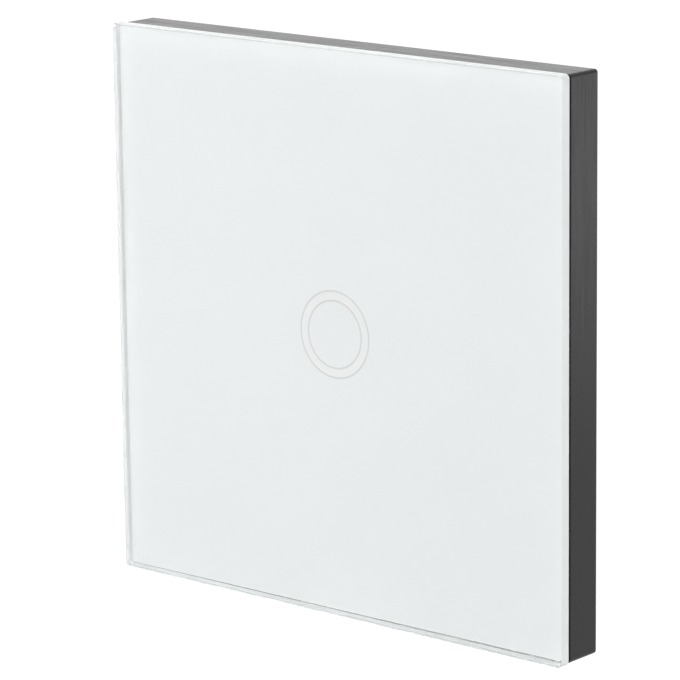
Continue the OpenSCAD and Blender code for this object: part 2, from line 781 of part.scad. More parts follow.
module rear_housing() {
    color([0.16, 0.16, 0.17]) {
        difference() {
            union() {
                along_y(flange_y, -plate_t) round_square(flange_half, flange_corner_r);
                along_y(flange_y, rear_y) cut_square(body_half, corner_cut);
            }
            along_y(flange_y - past, rear_inner_y) cut_square(inner_half, inner_cut);
            four(rivet_c) rod_y(rivet_r, flange_y - past, past);
            rear_nose(nose_gap, rear_inner_y - past, rear_y + past);
            wire_nose(nose_gap, -body_half - past, block_z0 + past);
            for (i = [-2 : 2]) {
                at(i * vent_pitch, 0)
                    box([-vent_w / 2, rear_inner_y - vent_inset - vent_l, inner_half - past],
                        [vent_w / 2, rear_inner_y - vent_inset, body_half + past]);
            }
        }
        four(boss_c) difference() {
            rod_y(boss_r, board_y, rear_inner_y + housing_wall / 2);
            rod_y(screw_r + thread_fit, board_y - past, board_y + screw_grip + screw_room);
        }
    }
}

module module_lid() {
    color([0.2, 0.2, 0.21]) along_y(lid_y, flange_y) difference() {
        round_square(lid_half, flange_corner_r);
        for (sx = [-1, 1], sy = [-1, 1]) {
            translate([sx * boss_c, sy * boss_c]) circle(r = screw_r + screw_pass);
        }
        translate([0, link_z])
            square([2 * (socket_half + socket_gap), socket_w + 2 * socket_gap], center = true);
    }
}

module housing_screws() {
    head_y = touch_y - screw_head_t;
    color([0.75, 0.75, 0.76]) four(boss_c) difference() {
        union() {
            rod_y(screw_head_r, head_y, touch_y);
            rod_y(screw_r, head_y, board_y + screw_grip);
        }
        bar_y(cross_slot_l, cross_slot_w, head_y - past, head_y + screw_head_t / 2);
        bar_y(cross_slot_w, cross_slot_l, head_y - past, head_y + screw_head_t / 2);
    }
}

module touch_board() {
    color([0.93, 0.93, 0.9]) along_y(touch_y, lid_y) difference() {
        round_square(touch_half, touch_corner_r);
        for (sx = [-1, 1], sy = [-1, 1]) {
            translate([sx * boss_c, sy * boss_c]) circle(r = screw_r + screw_pass);
        }
        for (x = LINK_X) translate([x, link_z]) square(link_hole, center = true);
    }
}

module touch_pad() {
    color([0.9, 0.75, 0.4]) rod_y(guide_r0 - pad_gap, touch_y - pad_t, touch_y);
}

module touch_spring() {
    color([0.85, 0.85, 0.85]) sweep(SPRING, spring_wire / 2, 6);
}

module light_guide() {
    groove = led_w / 2 + led_gap;
    color([0.9, 0.95, 1, 0.7]) difference() {
        rod_y(guide_r1, enamel_back_y + guide_gap, touch_y);
        rod_y(guide_r0, enamel_back_y - past, touch_y + past);
        difference() {
            rod_y(ring_mid + groove, touch_y - led_t - led_gap, touch_y + past);
            rod_y(ring_mid - groove, touch_y - led_t - led_gap - past, touch_y + 2 * past);
        }
    }
}

module indicator_leds() {
    color([0.95, 0.95, 0.8]) for (a = [45 : 90 : 315]) {
        rotate([0, a, 0]) at(0, ring_mid) bar_y(led_l, led_w, touch_y - led_t, touch_y);
    }
}

// Place of the chips beside the light guide
chip_c = guide_r1 + guide_room + leg_l + chip_w / 2;

module touch_chip() {
    color([0.12, 0.12, 0.12]) at(0, -chip_c) chip(touch_y, 4);
}

module touch_passives() {
    color([0.6, 0.5, 0.4]) for (i = [-2 : 2]) {
        at(i * chip_part_pitch, guide_r1 + guide_room + chip_part_w) chip_part(touch_y);
        at((i < 0 ? -1 : 1) * (guide_r1 + guide_room + chip_part_l + abs(i) * chip_part_pitch),
            i == 0 ? chip_part_pitch : 0) chip_part(touch_y);
    }
}

module link_pins() {
    color([0.9, 0.75, 0.4]) for (x = LINK_X) {
        at(x, link_z) bar_y(link_pin, link_pin, touch_y - solder_t, board_depth - socket_floor - link_gap);
        at(x, link_z) bar_y(2 * link_hole, 2 * link_hole, touch_y - solder_t / 2, touch_y);
    }
}

module link_socket() {
    color([0.1, 0.1, 0.1]) difference() {
        at(0, link_z) bar_y(2 * socket_half, socket_w, board_depth - socket_t, board_depth);
        for (x = LINK_X) {
            at(x, link_z)
                bar_y(link_hole, link_hole, board_depth - socket_t - past, board_depth - socket_floor);
        }
    }
}

module board_spacers() {
    color([0.9, 0.9, 0.88]) four(boss_c) difference() {
        rod_y(spacer_r, flange_y, board_depth);
        rod_y(screw_r + screw_pass, flange_y - past, board_depth + past);
    }
}

// Leg of contact bar i in the power board
bar_leg_z = bar_z1 - bar_t / 2;
function cell_x(i) = (i - 1) * terminal_pitch;

module power_board() {
    color([0.1, 0.4, 0.25]) along_y(board_depth, board_y) difference() {
        cut_square(board_half, board_cut);
        for (sx = [-1, 1], sy = [-1, 1]) {
            translate([sx * boss_c, sy * boss_c]) circle(r = screw_r + screw_pass);
        }
        for (p = LEADS) translate(p) circle(r = lead_r + lead_gap);
        for (i = [0 : 2]) {
            translate([cell_x(i), bar_leg_z])
                square([bar_w + 2 * lead_gap, bar_t + 2 * lead_gap], center = true);
        }
    }
}

module solder_leads() {
    color([0.78, 0.78, 0.78]) for (p = LEADS) at(p[0], p[1]) {
        rod_y(lead_r, board_depth - solder_t, board_y);
        translate([0, board_depth, 0]) rotate([90, 0, 0]) cylinder(r1 = solder_r, r2 = lead_r, h = solder_t);
    }
}

module film_capacitor() {
    color([0.85, 0.7, 0.2]) at(film_x, film_z)
        along_y(board_y, board_y + film_h) round_rect(film_l, film_w, film_corner_r);
}

module electrolytic_capacitor() {
    color([0.15, 0.17, 0.25]) at(can_x, can_z) translate([0, board_y, 0]) rotate([-90, 0, 0]) rotate_extrude()
        polygon([[0, 0], [can_r, 0], [can_r, can_groove_y - can_groove], [can_r - can_groove, can_groove_y],
            [can_r, can_groove_y + can_groove], [can_r, can_h - can_bevel], [can_r - can_bevel, can_h],
            [can_r - can_bevel - can_rim, can_h], [can_r - can_bevel - can_rim - can_dish, can_h - can_dish],
            [0, can_h - can_dish]]);
}

module varistor() {
    y = board_y + varistor_foot + varistor_r;
    color([0.15, 0.3, 0.6]) at(varistor_x, varistor_z) {
        translate([0, y, 0]) rotate_extrude() polygon([[0, -varistor_t / 2],
            [varistor_r - varistor_bevel, -varistor_t / 2], [varistor_r, -varistor_t / 2 + varistor_bevel],
            [varistor_r, varistor_t / 2 - varistor_bevel], [varistor_r - varistor_bevel, varistor_t / 2],
            [0, varistor_t / 2]]);
        bar_y(2 * (varistor_r - varistor_foot_inset), varistor_t / 2, board_y, y);
    }
}

module fuse() {
    color([0.2, 0.2, 0.2]) at(fuse_x, fuse_z)
        along_y(board_y, board_y + fuse_h) round_rect(fuse_l, fuse_w, fuse_corner_r);
}

module choke_core() {
    color([0.3, 0.3, 0.3]) at(choke_x, choke_z) {
        rod_y(choke_r, board_y, board_y + choke_flange);
        rod_y(choke_core_r, board_y, board_y + choke_h);
        rod_y(choke_r, board_y + choke_h - choke_flange, board_y + choke_h);
    }
}

module choke_winding() {
    color([0.75, 0.4, 0.2]) at(choke_x, choke_z) difference() {
        rod_y(choke_r - choke_recess, board_y + choke_flange, board_y + choke_h - choke_flange);
        rod_y(choke_core_r, board_y, board_y + choke_h);
    }
}

// Parts on the front of the power board, between the relay leads
front_part_x = chip_l / 2 + part_gap;

module rectifier() {
    color([0.12, 0.12, 0.12]) at(-front_part_x, relay_z) chip(board_depth, 2);
}

module driver_chip() {
    color([0.12, 0.12, 0.12]) at(front_part_x, relay_z) chip(board_depth, 4);
}

module power_passives() {
    z = relay_z - chip_w / 2 - leg_l - part_gap - chip_part_w / 2;
    color([0.6, 0.5, 0.4]) for (i = [-2 : 2]) at(i * chip_part_pitch, z) chip_part(board_depth);
}

module relay_base() {
    color([0.15, 0.15, 0.16]) at(0, relay_z)
        bar_y(relay_l - 2 * relay_wall, relay_w - 2 * relay_wall, board_y, relay_floor);
}

module relay_case() {
    color([0.2, 0.25, 0.35]) at(0, relay_z) difference() {
        bar_y(relay_l, relay_w, board_y, relay_top);
        bar_y(relay_l - 2 * relay_wall, relay_w - 2 * relay_wall, board_y - past, relay_top - relay_wall);
    }
}

module relay_yoke() {
    color([0.7, 0.7, 0.72]) at(0, relay_z) {
        box([yoke_x, relay_floor, -yoke_w / 2], [yoke_x + yoke_t, pole_y, yoke_w / 2]);
        box([yoke_x, relay_floor, -yoke_w / 2], [coil_x + pole_r, bobbin_y0, yoke_w / 2]);
    }
}

module relay_core() {
    color([0.6, 0.6, 0.62]) at(coil_x, relay_z) {
        rod_y(core_r, bobbin_y0, pole_y);
        rod_y(pole_r, pole_y - pole_t, pole_y);
    }
}

module relay_bobbin() {
    top = bobbin_y0 + bobbin_h;
    color([0.9, 0.88, 0.8]) at(coil_x, relay_z) difference() {
        union() {
            rod_y(bobbin_flange_r, bobbin_y0, bobbin_y0 + bobbin_flange_t);
            rod_y(core_r + bobbin_wall, bobbin_y0, top);
            rod_y(bobbin_flange_r, top - bobbin_flange_t, top);
        }
        rod_y(core_r, bobbin_y0 - past, top + past);
    }
}

module relay_winding() {
    color([0.72, 0.38, 0.2]) at(coil_x, relay_z) difference() {
        rod_y(bobbin_flange_r - winding_recess, bobbin_y0 + bobbin_flange_t,
            bobbin_y0 + bobbin_h - bobbin_flange_t);
        rod_y(core_r + bobbin_wall, bobbin_y0, bobbin_y0 + bobbin_h);
    }
}

// The contacts meet in this plane when the armature is closed
contact_y = leaf_y - contact_t - armature_gap;

module contact_post() {
    top = contact_y - contact_t;
    color([0.8, 0.65, 0.35]) at(contact_x, relay_z) difference() {
        union() {
            box([-contact_r, top - post_t, -post_w / 2], [contact_r, top, post_w / 2]);
            box([contact_r - post_t, relay_floor, -post_w / 2], [contact_r, top, post_w / 2]);
        }
        rod_y(contact_shank_r, top - post_t - past, top + past);
    }
}

module fixed_contact() {
    color([0.85, 0.85, 0.87]) at(contact_x, relay_z) {
        rod_y(contact_r, contact_y - contact_t, contact_y);
        rod_y(contact_shank_r, contact_y - contact_t - post_t, contact_y);
    }
}

// Swings a closed piece open about the top edge of the yoke
module open_armature() {
    translate([yoke_x, armature_y, relay_z]) rotate([0, 0, armature_swing])
        translate([-yoke_x, -armature_y, 0]) children();
}

module relay_armature() {
    color([0.65, 0.65, 0.67]) open_armature()
        box([yoke_x, armature_y, -yoke_w / 2], [armature_x1, leaf_y, yoke_w / 2]);
}

module contact_leaf() {
    color([0.8, 0.6, 0.3]) open_armature() difference() {
        box([leaf_x0, leaf_y, -leaf_w / 2], [leaf_x1, leaf_y + leaf_t, leaf_w / 2]);
        at(contact_x, 0) rod_y(contact_shank_r, leaf_y - past, leaf_y + past);
    }
}

module moving_contact() {
    color([0.85, 0.85, 0.87]) open_armature() at(contact_x, 0) {
        rod_y(contact_r, leaf_y - contact_t, leaf_y);
        rod_y(contact_shank_r, leaf_y - contact_t, leaf_y + leaf_t + contact_t / 2);
    }
}

module terminal_block() {
    bar_slot = bar_w / 2 + bar_gap;
    color([0.82, 0.83, 0.84]) difference() {
        union() {
            box([-block_half, block_y0, block_z0], [block_half, rear_inner_y, block_z1]);
            rear_nose(0, rear_inner_y - past, rear_y);
            wire_nose(0, -body_half, block_z0 + past);
        }
        for (i = [0 : 2]) at(cell_x(i), 0) {
            box([-cell_half, block_y0 - past, cell_z0], [cell_half, cell_y1, cell_z1]);
            box([-bar_slot, block_y0 - past, cell_z1 - past], [bar_slot, bar_y1 + bar_gap, bar_z1 + bar_gap]);
            at(0, clamp_z) rod_y(terminal_screw_r + terminal_fit, cell_y1 - past, rear_y);
            at(0, clamp_z) rod_y(terminal_head_r + terminal_fit, seat_y, rear_y + past);
            translate([0, wire_y, -body_half - past])
                cylinder(r = wire_r, h = body_half + cell_z0 + 2 * past);
        }
    }
}

module contact_bars() {
    color([0.85, 0.68, 0.35]) for (i = [0 : 2]) at(cell_x(i), 0) {
        box([-bar_w / 2, bar_y0, cell_z0 + clamp_gap], [bar_w / 2, bar_y1, bar_z1]);
        box([-bar_w / 2, board_depth - solder_t, bar_z1 - bar_t], [bar_w / 2, bar_y1, bar_z1]);
        at(0, bar_leg_z) bar_y(bar_w + bar_t, 2 * bar_t, board_depth - solder_t / 2, board_depth);
    }
}

module clamp(i) {
    inner = clamp_w / 2 - clamp_wall;
    color([0.78, 0.6, 0.3]) at(cell_x(i), clamp_z) difference() {
        bar_y(clamp_w, clamp_h, clamp_y0, clamp_y1);
        bar_y(2 * inner, clamp_h + 2 * past, wire_y0, clamp_inner_y1);
        rod_y(terminal_screw_r + thread_fit, clamp_inner_y1 - past, clamp_y1 + past);
    }
}

module terminal_screw(i) {
    color([0.8, 0.8, 0.8]) at(cell_x(i), clamp_z) difference() {
        union() {
            rod_y(terminal_screw_r, bar_y1 + thread_fit, head_y1);
            rod_y(terminal_head_r, head_y0, head_y1);
        }
        bar_y(2 * terminal_head_r + past, driver_slot_w, head_y1 - driver_slot_t, head_y1 + past);
    }
}

glass_panel();
enamel_coat();
ring_window();
bonding_tape();
carrier_frame();
mounting_plate();
snap_bushes();
plate_rivets();
rear_housing();
module_lid();
housing_screws();
touch_board();
touch_pad();
touch_spring();
light_guide();
indicator_leds();
touch_chip();
touch_passives();
link_pins();
link_socket();
board_spacers();
power_board();
solder_leads();
film_capacitor();
electrolytic_capacitor();
varistor();
fuse();
choke_core();
choke_winding();
rectifier();
driver_chip();
power_passives();
relay_base();
relay_case();
relay_yoke();
relay_core();
relay_bobbin();
relay_winding();
contact_post();
fixed_contact();
relay_armature();
contact_leaf();
moving_contact();
terminal_block();
contact_bars();
clamp(0);  // clamp_line
clamp(1);  // clamp_neutral
clamp(2);  // clamp_lamp
terminal_screw(0);  // terminal_screw_line
terminal_screw(1);  // terminal_screw_neutral
terminal_screw(2);  // terminal_screw_lamp
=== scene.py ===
# %% [markdown]
# A touch light switch, dressed on its solids.
# The real object is a white glass panel on a dark frame, snapped over a small wall module.
# Its solids are already made to size, so this lesson only adds what the eye reads: glass, print,
# moulded grain, plated metal, wound wire and the light they stand in.
# The solids are loaded first and stay where they are, because every finish is laid on them.

# %% The frame and its box
import json
from math import cos, pi, radians, sin

import bmesh
import bpy
from mathutils import Matrix, Vector


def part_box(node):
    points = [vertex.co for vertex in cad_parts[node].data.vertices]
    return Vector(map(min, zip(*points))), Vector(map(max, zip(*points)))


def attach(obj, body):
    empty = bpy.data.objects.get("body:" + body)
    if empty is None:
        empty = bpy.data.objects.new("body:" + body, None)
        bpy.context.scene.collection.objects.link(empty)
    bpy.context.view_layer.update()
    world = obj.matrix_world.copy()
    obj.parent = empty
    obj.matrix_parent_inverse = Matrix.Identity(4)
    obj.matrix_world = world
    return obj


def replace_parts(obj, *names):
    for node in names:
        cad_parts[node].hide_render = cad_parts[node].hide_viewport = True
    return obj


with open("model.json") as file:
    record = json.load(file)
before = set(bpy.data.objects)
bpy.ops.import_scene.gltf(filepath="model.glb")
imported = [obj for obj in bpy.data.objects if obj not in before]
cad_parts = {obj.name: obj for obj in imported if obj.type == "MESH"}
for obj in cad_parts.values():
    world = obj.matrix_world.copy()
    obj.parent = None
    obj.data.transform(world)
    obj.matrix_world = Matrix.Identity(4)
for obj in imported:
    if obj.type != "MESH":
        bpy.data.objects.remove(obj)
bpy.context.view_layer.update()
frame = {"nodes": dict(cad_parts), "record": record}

MM = 0.001
nodes = frame["nodes"]
# The solids come with plain colours, which give way to the finishes below
for plain_colour in list(bpy.data.materials):
    bpy.data.materials.remove(plain_colour)

# %% [markdown]
# The camera.
# A product picture is taken with a long lens, so the panel's sides stay nearly parallel.
# The place of the camera could be guessed by eye, but eight corners of the panel and frame give it
# exactly: azimuth, elevation, roll, distance and focal length were fitted to them in pixels.

# %% A camera from its fitted angles
PICTURE_PIXELS = 680
SENSOR_MM = 36.0
FOCAL_PIXELS = 3897.0
AZIMUTH, ELEVATION, ROLL = radians(40.5872), radians(12.9652), radians(0.6882)
DISTANCE = 546.03 * MM
AIM = Vector((-5.1117, 0, -2.7694)) * MM

towards = Vector((sin(AZIMUTH) * cos(ELEVATION), -cos(AZIMUTH) * cos(ELEVATION), sin(ELEVATION)))
level_right = (-towards).cross(Vector((0, 0, 1))).normalized()
level_up = towards.cross(level_right)
right = level_right * cos(ROLL) - level_up * sin(ROLL)
up = level_right * sin(ROLL) + level_up * cos(ROLL)

lens = bpy.data.cameras.new("picture_lens")
lens.sensor_width = SENSOR_MM
lens.lens = FOCAL_PIXELS / PICTURE_PIXELS * SENSOR_MM
camera = bpy.data.objects.new("picture_camera", lens)
turn = Matrix((right, up, towards)).transposed().to_4x4()
camera.matrix_world = Matrix.Translation(AIM + towards * DISTANCE) @ turn
scene = bpy.context.scene
scene.collection.objects.link(camera)
scene.camera = camera
scene.view_settings.view_transform = "Standard"
print("camera at", [round(c, 3) for c in camera.location], "lens", round(lens.lens, 1), "mm")

# %% [markdown]
# The light tent.
# A glossy white panel is photographed in a white tent with a soft lamp high on its left, and with
# two weak cards that the dark frame mirrors, one beside its right side and one behind its top.
# The tent is the world: it lights from all round, a little more from above, and shows as plain
# white where the camera, the glass or the metal looks at it.
# The floor lies well below, since the switch hangs on a wall, and is pale enough to read as white.

# %% One function that adds a node, and two that the tent and the floor need
WHITE = (1, 1, 1, 1)
BEFORE_BOUNCE = 0.5


def put(tree, kind, inputs=(), **settings):
    """Adds a shader node: settings are its own fields, inputs its sockets as values or as links."""
    node = tree.nodes.new("ShaderNode" + kind)
    for field, value in settings.items():
        setattr(node, field, value)
    for socket, value in dict(inputs).items():
        if isinstance(value, bpy.types.NodeSocket):
            tree.links.new(value, node.inputs[socket])
        else:
            node.inputs[socket].default_value = value
    return node


def linear(hex_colour):
    """An sRGB colour such as #EEEEEE as the linear red, green, blue and alpha of a shader socket."""
    parts = [int(hex_colour[i:i + 2], 16) / 255 for i in (1, 3, 5)]
    return [c / 12.92 if c <= 0.04045 else ((c + 0.055) / 1.055) ** 2.4 for c in parts] + [1.0]


def seen_straight(tree):
    """1 for the rays that look at the tent: from the camera, in a reflection or through glass."""
    path = put(tree, "LightPath").outputs
    looked = put(tree, "Math", {0: path["Is Camera Ray"], 1: path["Is Glossy Ray"]}, operation="MAXIMUM")
    through = {0: looked.outputs[0], 1: path["Is Transmission Ray"]}
    seen = put(tree, "Math", through, operation="MAXIMUM").outputs[0]
    # A ray that has left a matte surface gathers light, and does not look
    bounces = {0: path["Diffuse Depth"], 1: BEFORE_BOUNCE}
    first = put(tree, "Math", bounces, operation="LESS_THAN").outputs[0]
    return put(tree, "Math", {0: seen, 1: first}, operation="MULTIPLY").outputs[0]


print("mid grey as linear:", [round(c, 3) for c in linear("#808080")])

# %% The tent
TENT_LOW, TENT_HIGH = 0.7, 0.84
tent = bpy.data.worlds.new("white_tent")
tent.use_nodes = True
tree = tent.node_tree
tree.nodes.clear()
height = put(tree, "SeparateXYZ", {0: put(tree, "TexCoord").outputs["Generated"]}).outputs["Z"]
glow = put(tree, "MapRange", {"Value": height, "From Min": -1, "To Min": TENT_LOW, "To Max": TENT_HIGH})
cloth = put(tree, "Background", {"Strength": glow.outputs[0], "Color": WHITE})
plain = put(tree, "Background", {"Strength": 1, "Color": WHITE})
shown = put(tree, "MixShader", {0: seen_straight(tree), 1: cloth.outputs[0], 2: plain.outputs[0]})
put(tree, "OutputWorld", {"Surface": shown.outputs[0]})
scene.world = tent
print("tent from", TENT_LOW, "below to", TENT_HIGH, "above")

# %% The floor, white paper that is lifted to white where it is looked at
FLOOR_HALF, FLOOR_DROP, FLOOR_LIFT = 8.0, 0.6, 0.38
corners = ((-1, -1), (1, -1), (1, 1), (-1, 1))
floor_mesh = bpy.data.meshes.new("pale_floor")
floor_corners = [(x * FLOOR_HALF, y * FLOOR_HALF, -FLOOR_DROP) for x, y in corners]
floor_mesh.from_pydata(floor_corners, [], [(0, 1, 2, 3)])
floor = bpy.data.objects.new("pale_floor", floor_mesh)
scene.collection.objects.link(floor)
paper = bpy.data.materials.new("white_paper")
paper.use_nodes = True
tree = paper.node_tree
tree.nodes.clear()
fibre = put(tree, "BsdfDiffuse", {"Color": linear("#EAEAEA")})
lift = put(tree, "Math", {0: seen_straight(tree), 1: FLOOR_LIFT}, operation="MULTIPLY")
lit = put(tree, "Emission", {"Color": WHITE, "Strength": lift.outputs[0]})
both = put(tree, "AddShader", {0: fibre.outputs[0], 1: lit.outputs[0]})
put(tree, "OutputMaterial", {"Surface": both.outputs[0]})
floor_mesh.materials.append(paper)
print("floor", 2 * FLOOR_HALF, "m wide,", FLOOR_DROP, "m below the middle of the panel")

# %% The lamps: place in metres, width in metres and power in watts
SOFTBOXES = {
    "key_softbox": ((-0.46, -0.82, 0.5), 0.5, 9.35),
    "rim_softbox": ((0.23, 0.22, -0.008), 0.11, 0.053),
    "top_softbox": ((-0.58, 0.68, 0.245), 0.5, 0.15),
}
for name, (spot, width, watts) in SOFTBOXES.items():
    box_light = bpy.data.lights.new(name, "AREA")
    box_light.energy = watts
    box_light.size = width
    lamp = bpy.data.objects.new(name, box_light)
    lamp.location = spot
    lamp.visible_camera = False
    lamp.rotation_euler = Vector(spot).to_track_quat("Z", "Y").to_euler()
    scene.collection.objects.link(lamp)
print(len(SOFTBOXES), "soft lamps that face the switch")

# %% [markdown]
# Finishes and their scale.
# A finish is written down as a maker would note it: sRGB colours, and the width of its grain in
# millimetres. A small function turns such a width into the scale that a texture takes, and another
# starts a material.

# %% Scale and finish helpers
# A Mix node has sockets for each kind of data, and these are the numbers of the colour ones
COLOUR_A, COLOUR_B, COLOUR_OUT = 6, 7, 2


def every(millimetres):
    """The texture scale of a pattern that repeats at that spacing."""
    return 1 / (millimetres * MM)


def new_finish(name):
    """An empty material, its node tree and its place on the piece."""
    finish = bpy.data.materials.new(name)
    finish.use_nodes = True
    finish.node_tree.nodes.clear()
    return finish, finish.node_tree, put(finish.node_tree, "TexCoord").outputs["Object"]


print("a grain of 0.5 mm has the scale", round(every(0.5)))

# %% [markdown]
# The glass and its print.
# The front is 2.1 mm float glass with white enamel fired on its back. Its sides and the bevel along
# its back were ground, which leaves them white and rough, and the arris along its front polished.
# A white slab with a gloss could stand for it, but real glass shows more by itself: the print looks
# a little inside, the left side shows through the front as a pale strip, and where the print stops
# short of the bottom the dark frame behind draws a thin line.
# So the glass is a true refracting solid. The enamel is in full contact with it, which a renderer
# only knows if the print starts just inside the glass: both prints are copies of their solids,
# pushed two hundredths of a millimetre into it.

# %% Float glass with ground edges
GLASS_INDEX = 1.52
SIDE_CLEAR, BEVEL_CLEAR = 0.45, 0.1
FRONT_ARRIS = 0.15 * MM
# How squarely a surface faces the room or the wall: 0 on the sides, 1 on the face and the back
GROUND_BELOW, CLEAR_ABOVE, BEVEL_SQUARE = 0.8, 0.95, 0.6
float_glass, tree, place = new_finish("float_glass")
facing = put(tree, "SeparateXYZ", {0: put(tree, "NewGeometry").outputs["True Normal"]}).outputs["Y"]
square = put(tree, "Math", {0: facing}, operation="ABSOLUTE").outputs[0]
# Clear where the surface faces the room or the wall, white and rough where it was ground
flank = put(tree, "MapRange", {"Value": square, "From Min": GROUND_BELOW, "From Max": CLEAR_ABOVE,
                               "To Min": 1.0, "To Max": 0.0}).outputs[0]
# The thin arris along the front was polished, so it stays as clear as the face
depth = put(tree, "SeparateXYZ", {0: place}).outputs["Y"]
arris_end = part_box("glass_panel")[0].y + FRONT_ARRIS
behind = put(tree, "Math", {0: depth, 1: arris_end}, operation="GREATER_THAN").outputs[0]
ground = put(tree, "Math", {0: flank, 1: behind}, operation="MULTIPLY").outputs[0]
skin = put(tree, "MapRange", {"Value": square, "From Max": BEVEL_SQUARE,
                              "To Min": SIDE_CLEAR, "To Max": BEVEL_CLEAR}).outputs[0]
clarity = put(tree, "MapRange", {"Value": ground, "To Min": 1.0, "To Max": skin}).outputs[0]
tint = put(tree, "Mix", {0: ground, COLOUR_A: linear("#FCFEFE"), COLOUR_B: linear("#F4F6F6")},
           data_type="RGBA").outputs[COLOUR_OUT]
# Polished glass has roughness 0 and ground glass 1, which is what the mask already says
body = put(tree, "BsdfPrincipled", {"Base Color": tint, "IOR": GLASS_INDEX, "Roughness": ground,
                                    "Transmission Weight": clarity})
put(tree, "OutputMaterial", {"Surface": body.outputs[0]})
print("clarity of the ground sides and bevels:", SIDE_CLEAR, BEVEL_CLEAR)

# %% Fired enamel in three shades
SQUEEGEE_CLOUD, ENAMEL_ROUGH = 5, 0.6


def fired_enamel(name, shade, tone):
    """Screen printed and fired: an even coat, a faint cloud from the squeegee, no gloss of its own."""
    finish, tree, place = new_finish(name)
    cloud = put(tree, "TexNoise", {"Vector": place, "Scale": every(SQUEEGEE_CLOUD), "Detail": 2.0})
    tint = put(tree, "Mix", {0: cloud.outputs["Fac"], COLOUR_A: linear(shade), COLOUR_B: linear(tone)},
               data_type="RGBA")
    coat = put(tree, "BsdfPrincipled", {"Base Color": tint.outputs[COLOUR_OUT], "Roughness": ENAMEL_ROUGH,
                                        "Specular IOR Level": 0.0})
    put(tree, "OutputMaterial", {"Surface": coat.outputs[0]})
    return finish


# Opaque white of the whole panel
white_enamel = fired_enamel("white_enamel", "#FAFBFB", "#FBFCFC")
# The ring's own ink, made a touch paler than the white as painted light, for the light that the ring lets
# through
ring_ink = fired_enamel("ring_ink", "#FCFDFD", "#FDFDFD")
# Pale grey of the two lines that frame the ring, a little darker than the white around it; it fills the clear
# lines between the white and the ring
outline_ink = fired_enamel("outline_ink", "#E6E6E4", "#E8E8E6")
print("enamels:", white_enamel.name, ring_ink.name, outline_ink.name)

# %% The two prints, in contact with the glass
def make_piece(name, mesh, body, finish):
    """A new piece of the object that rides on a body and wears the finish it is given."""
    piece = bpy.data.objects.new(name, mesh)
    scene.collection.objects.link(piece)
    mesh.materials.clear()
    mesh.materials.append(finish)
    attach(piece, body)
    return piece


CONTACT = 0.02 * MM
# The screen was set a little high and turned: the white stops short of the bottom edge, and most so
# at its right end
SHORT_LEFT, SHORT_RIGHT = 0.02 * MM, 0.19 * MM
PRINTS = {"enamel_coat": ("enamel_print", white_enamel), "ring_window": ("ring_print", ring_ink)}
bottom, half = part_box("enamel_coat")[0].z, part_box("enamel_coat")[1].x
for node, (name, finish) in PRINTS.items():
    print_mesh = nodes[node].data.copy()
    print_mesh.transform(Matrix.Translation((0, -CONTACT, 0)))
    for spot in print_mesh.vertices:
        across = (spot.co.x + half) / (2 * half)
        spot.co.z = max(spot.co.z, bottom + SHORT_LEFT + (SHORT_RIGHT - SHORT_LEFT) * across)
    sheet = make_piece(name, print_mesh, "front_panel", finish)
    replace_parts(sheet, node)
    print(name, "pushed", round(CONTACT / MM, 3), "mm into the glass")

# %% The two thin lines that frame the ring
RING_LINE, RING_STEPS = 0.25 * MM, 128


def tube_faces(shape, loops):
    """Joins neighbouring loops of vertices in a bmesh with faces."""
    for here, there in zip(loops, loops[1:]):
        for k in range(len(here)):
            shape.faces.new((here[k], here[k - 1], there[k - 1], there[k]))


def flat_ring(shape, inner, outer, front, back, steps=RING_STEPS, x=0.0, z=0.0):
    """Adds a closed flat ring between two radii and two depths, about a middle, to a bmesh."""
    section = ((inner, front), (outer, front), (outer, back), (inner, back))
    turns = [2 * pi * i / steps for i in range(steps)]
    loops = [[shape.verts.new((x + r * cos(a), y, z + r * sin(a))) for r, y in section] for a in turns]
    tube_faces(shape, loops + loops[:1])


def as_mesh(name, shape):
    """The mesh of a bmesh, which is then freed."""
    mesh = bpy.data.meshes.new(name)
    shape.to_mesh(mesh)
    shape.free()
    return mesh


reaches = [Vector((v.co.x, v.co.z)).length for v in nodes["ring_window"].data.vertices]
low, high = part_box("ring_window")
front, back = low.y - CONTACT, high.y - CONTACT
lines = bmesh.new()
flat_ring(lines, max(reaches), max(reaches) + RING_LINE, front, back)
flat_ring(lines, min(reaches) - RING_LINE, min(reaches), front, back)
bmesh.ops.recalc_face_normals(lines, faces=lines.faces[:])
make_piece("ring_outlines", as_mesh("ring_outlines", lines), "front_panel", outline_ink)
print("ring in mm:", [round(pick(reaches) / MM, 2) for pick in (min, max)], "outlines", RING_LINE / MM)

# %% [markdown]
# Moulded plastics.
# The frame is dark ABS, the module's shell black polycarbonate, the terminal block and the small
# bushes polyamide. All are injection moulded: the mould's spark-eroded wall leaves a fine grain,
# flow leaves a slow change of shade, and every outer edge is a little round and catches light.
# The round edge is made in the shader, by softening the surface direction near an edge, because
# the solids keep their sharp corners for their sizes. Near each edge the colour is also made paler,
# which is partly wear and partly a painted highlight.

# %% Moulded plastic
# Grain, depth and edge are in millimetres, and so is the width of the clouds that flow leaves
# The real grain is about 0.05 mm wide; it is drawn three to ten times coarser so that it shows
FLOW_WIDTH = 9
# A noise stays mostly between these two values
NOISE_LOW, NOISE_HIGH = 0.3, 0.7
# Where the softened surface turns away from the flat one this far, the edge is fully paler: wear and a
# painted highlight
WEAR_AND_HIGHLIGHT_BEND = 0.85
# Clouds and flecks each bring half of the change of shade
SHADE_SHARE, ROUGH_SPREAD = 0.5, 0.1


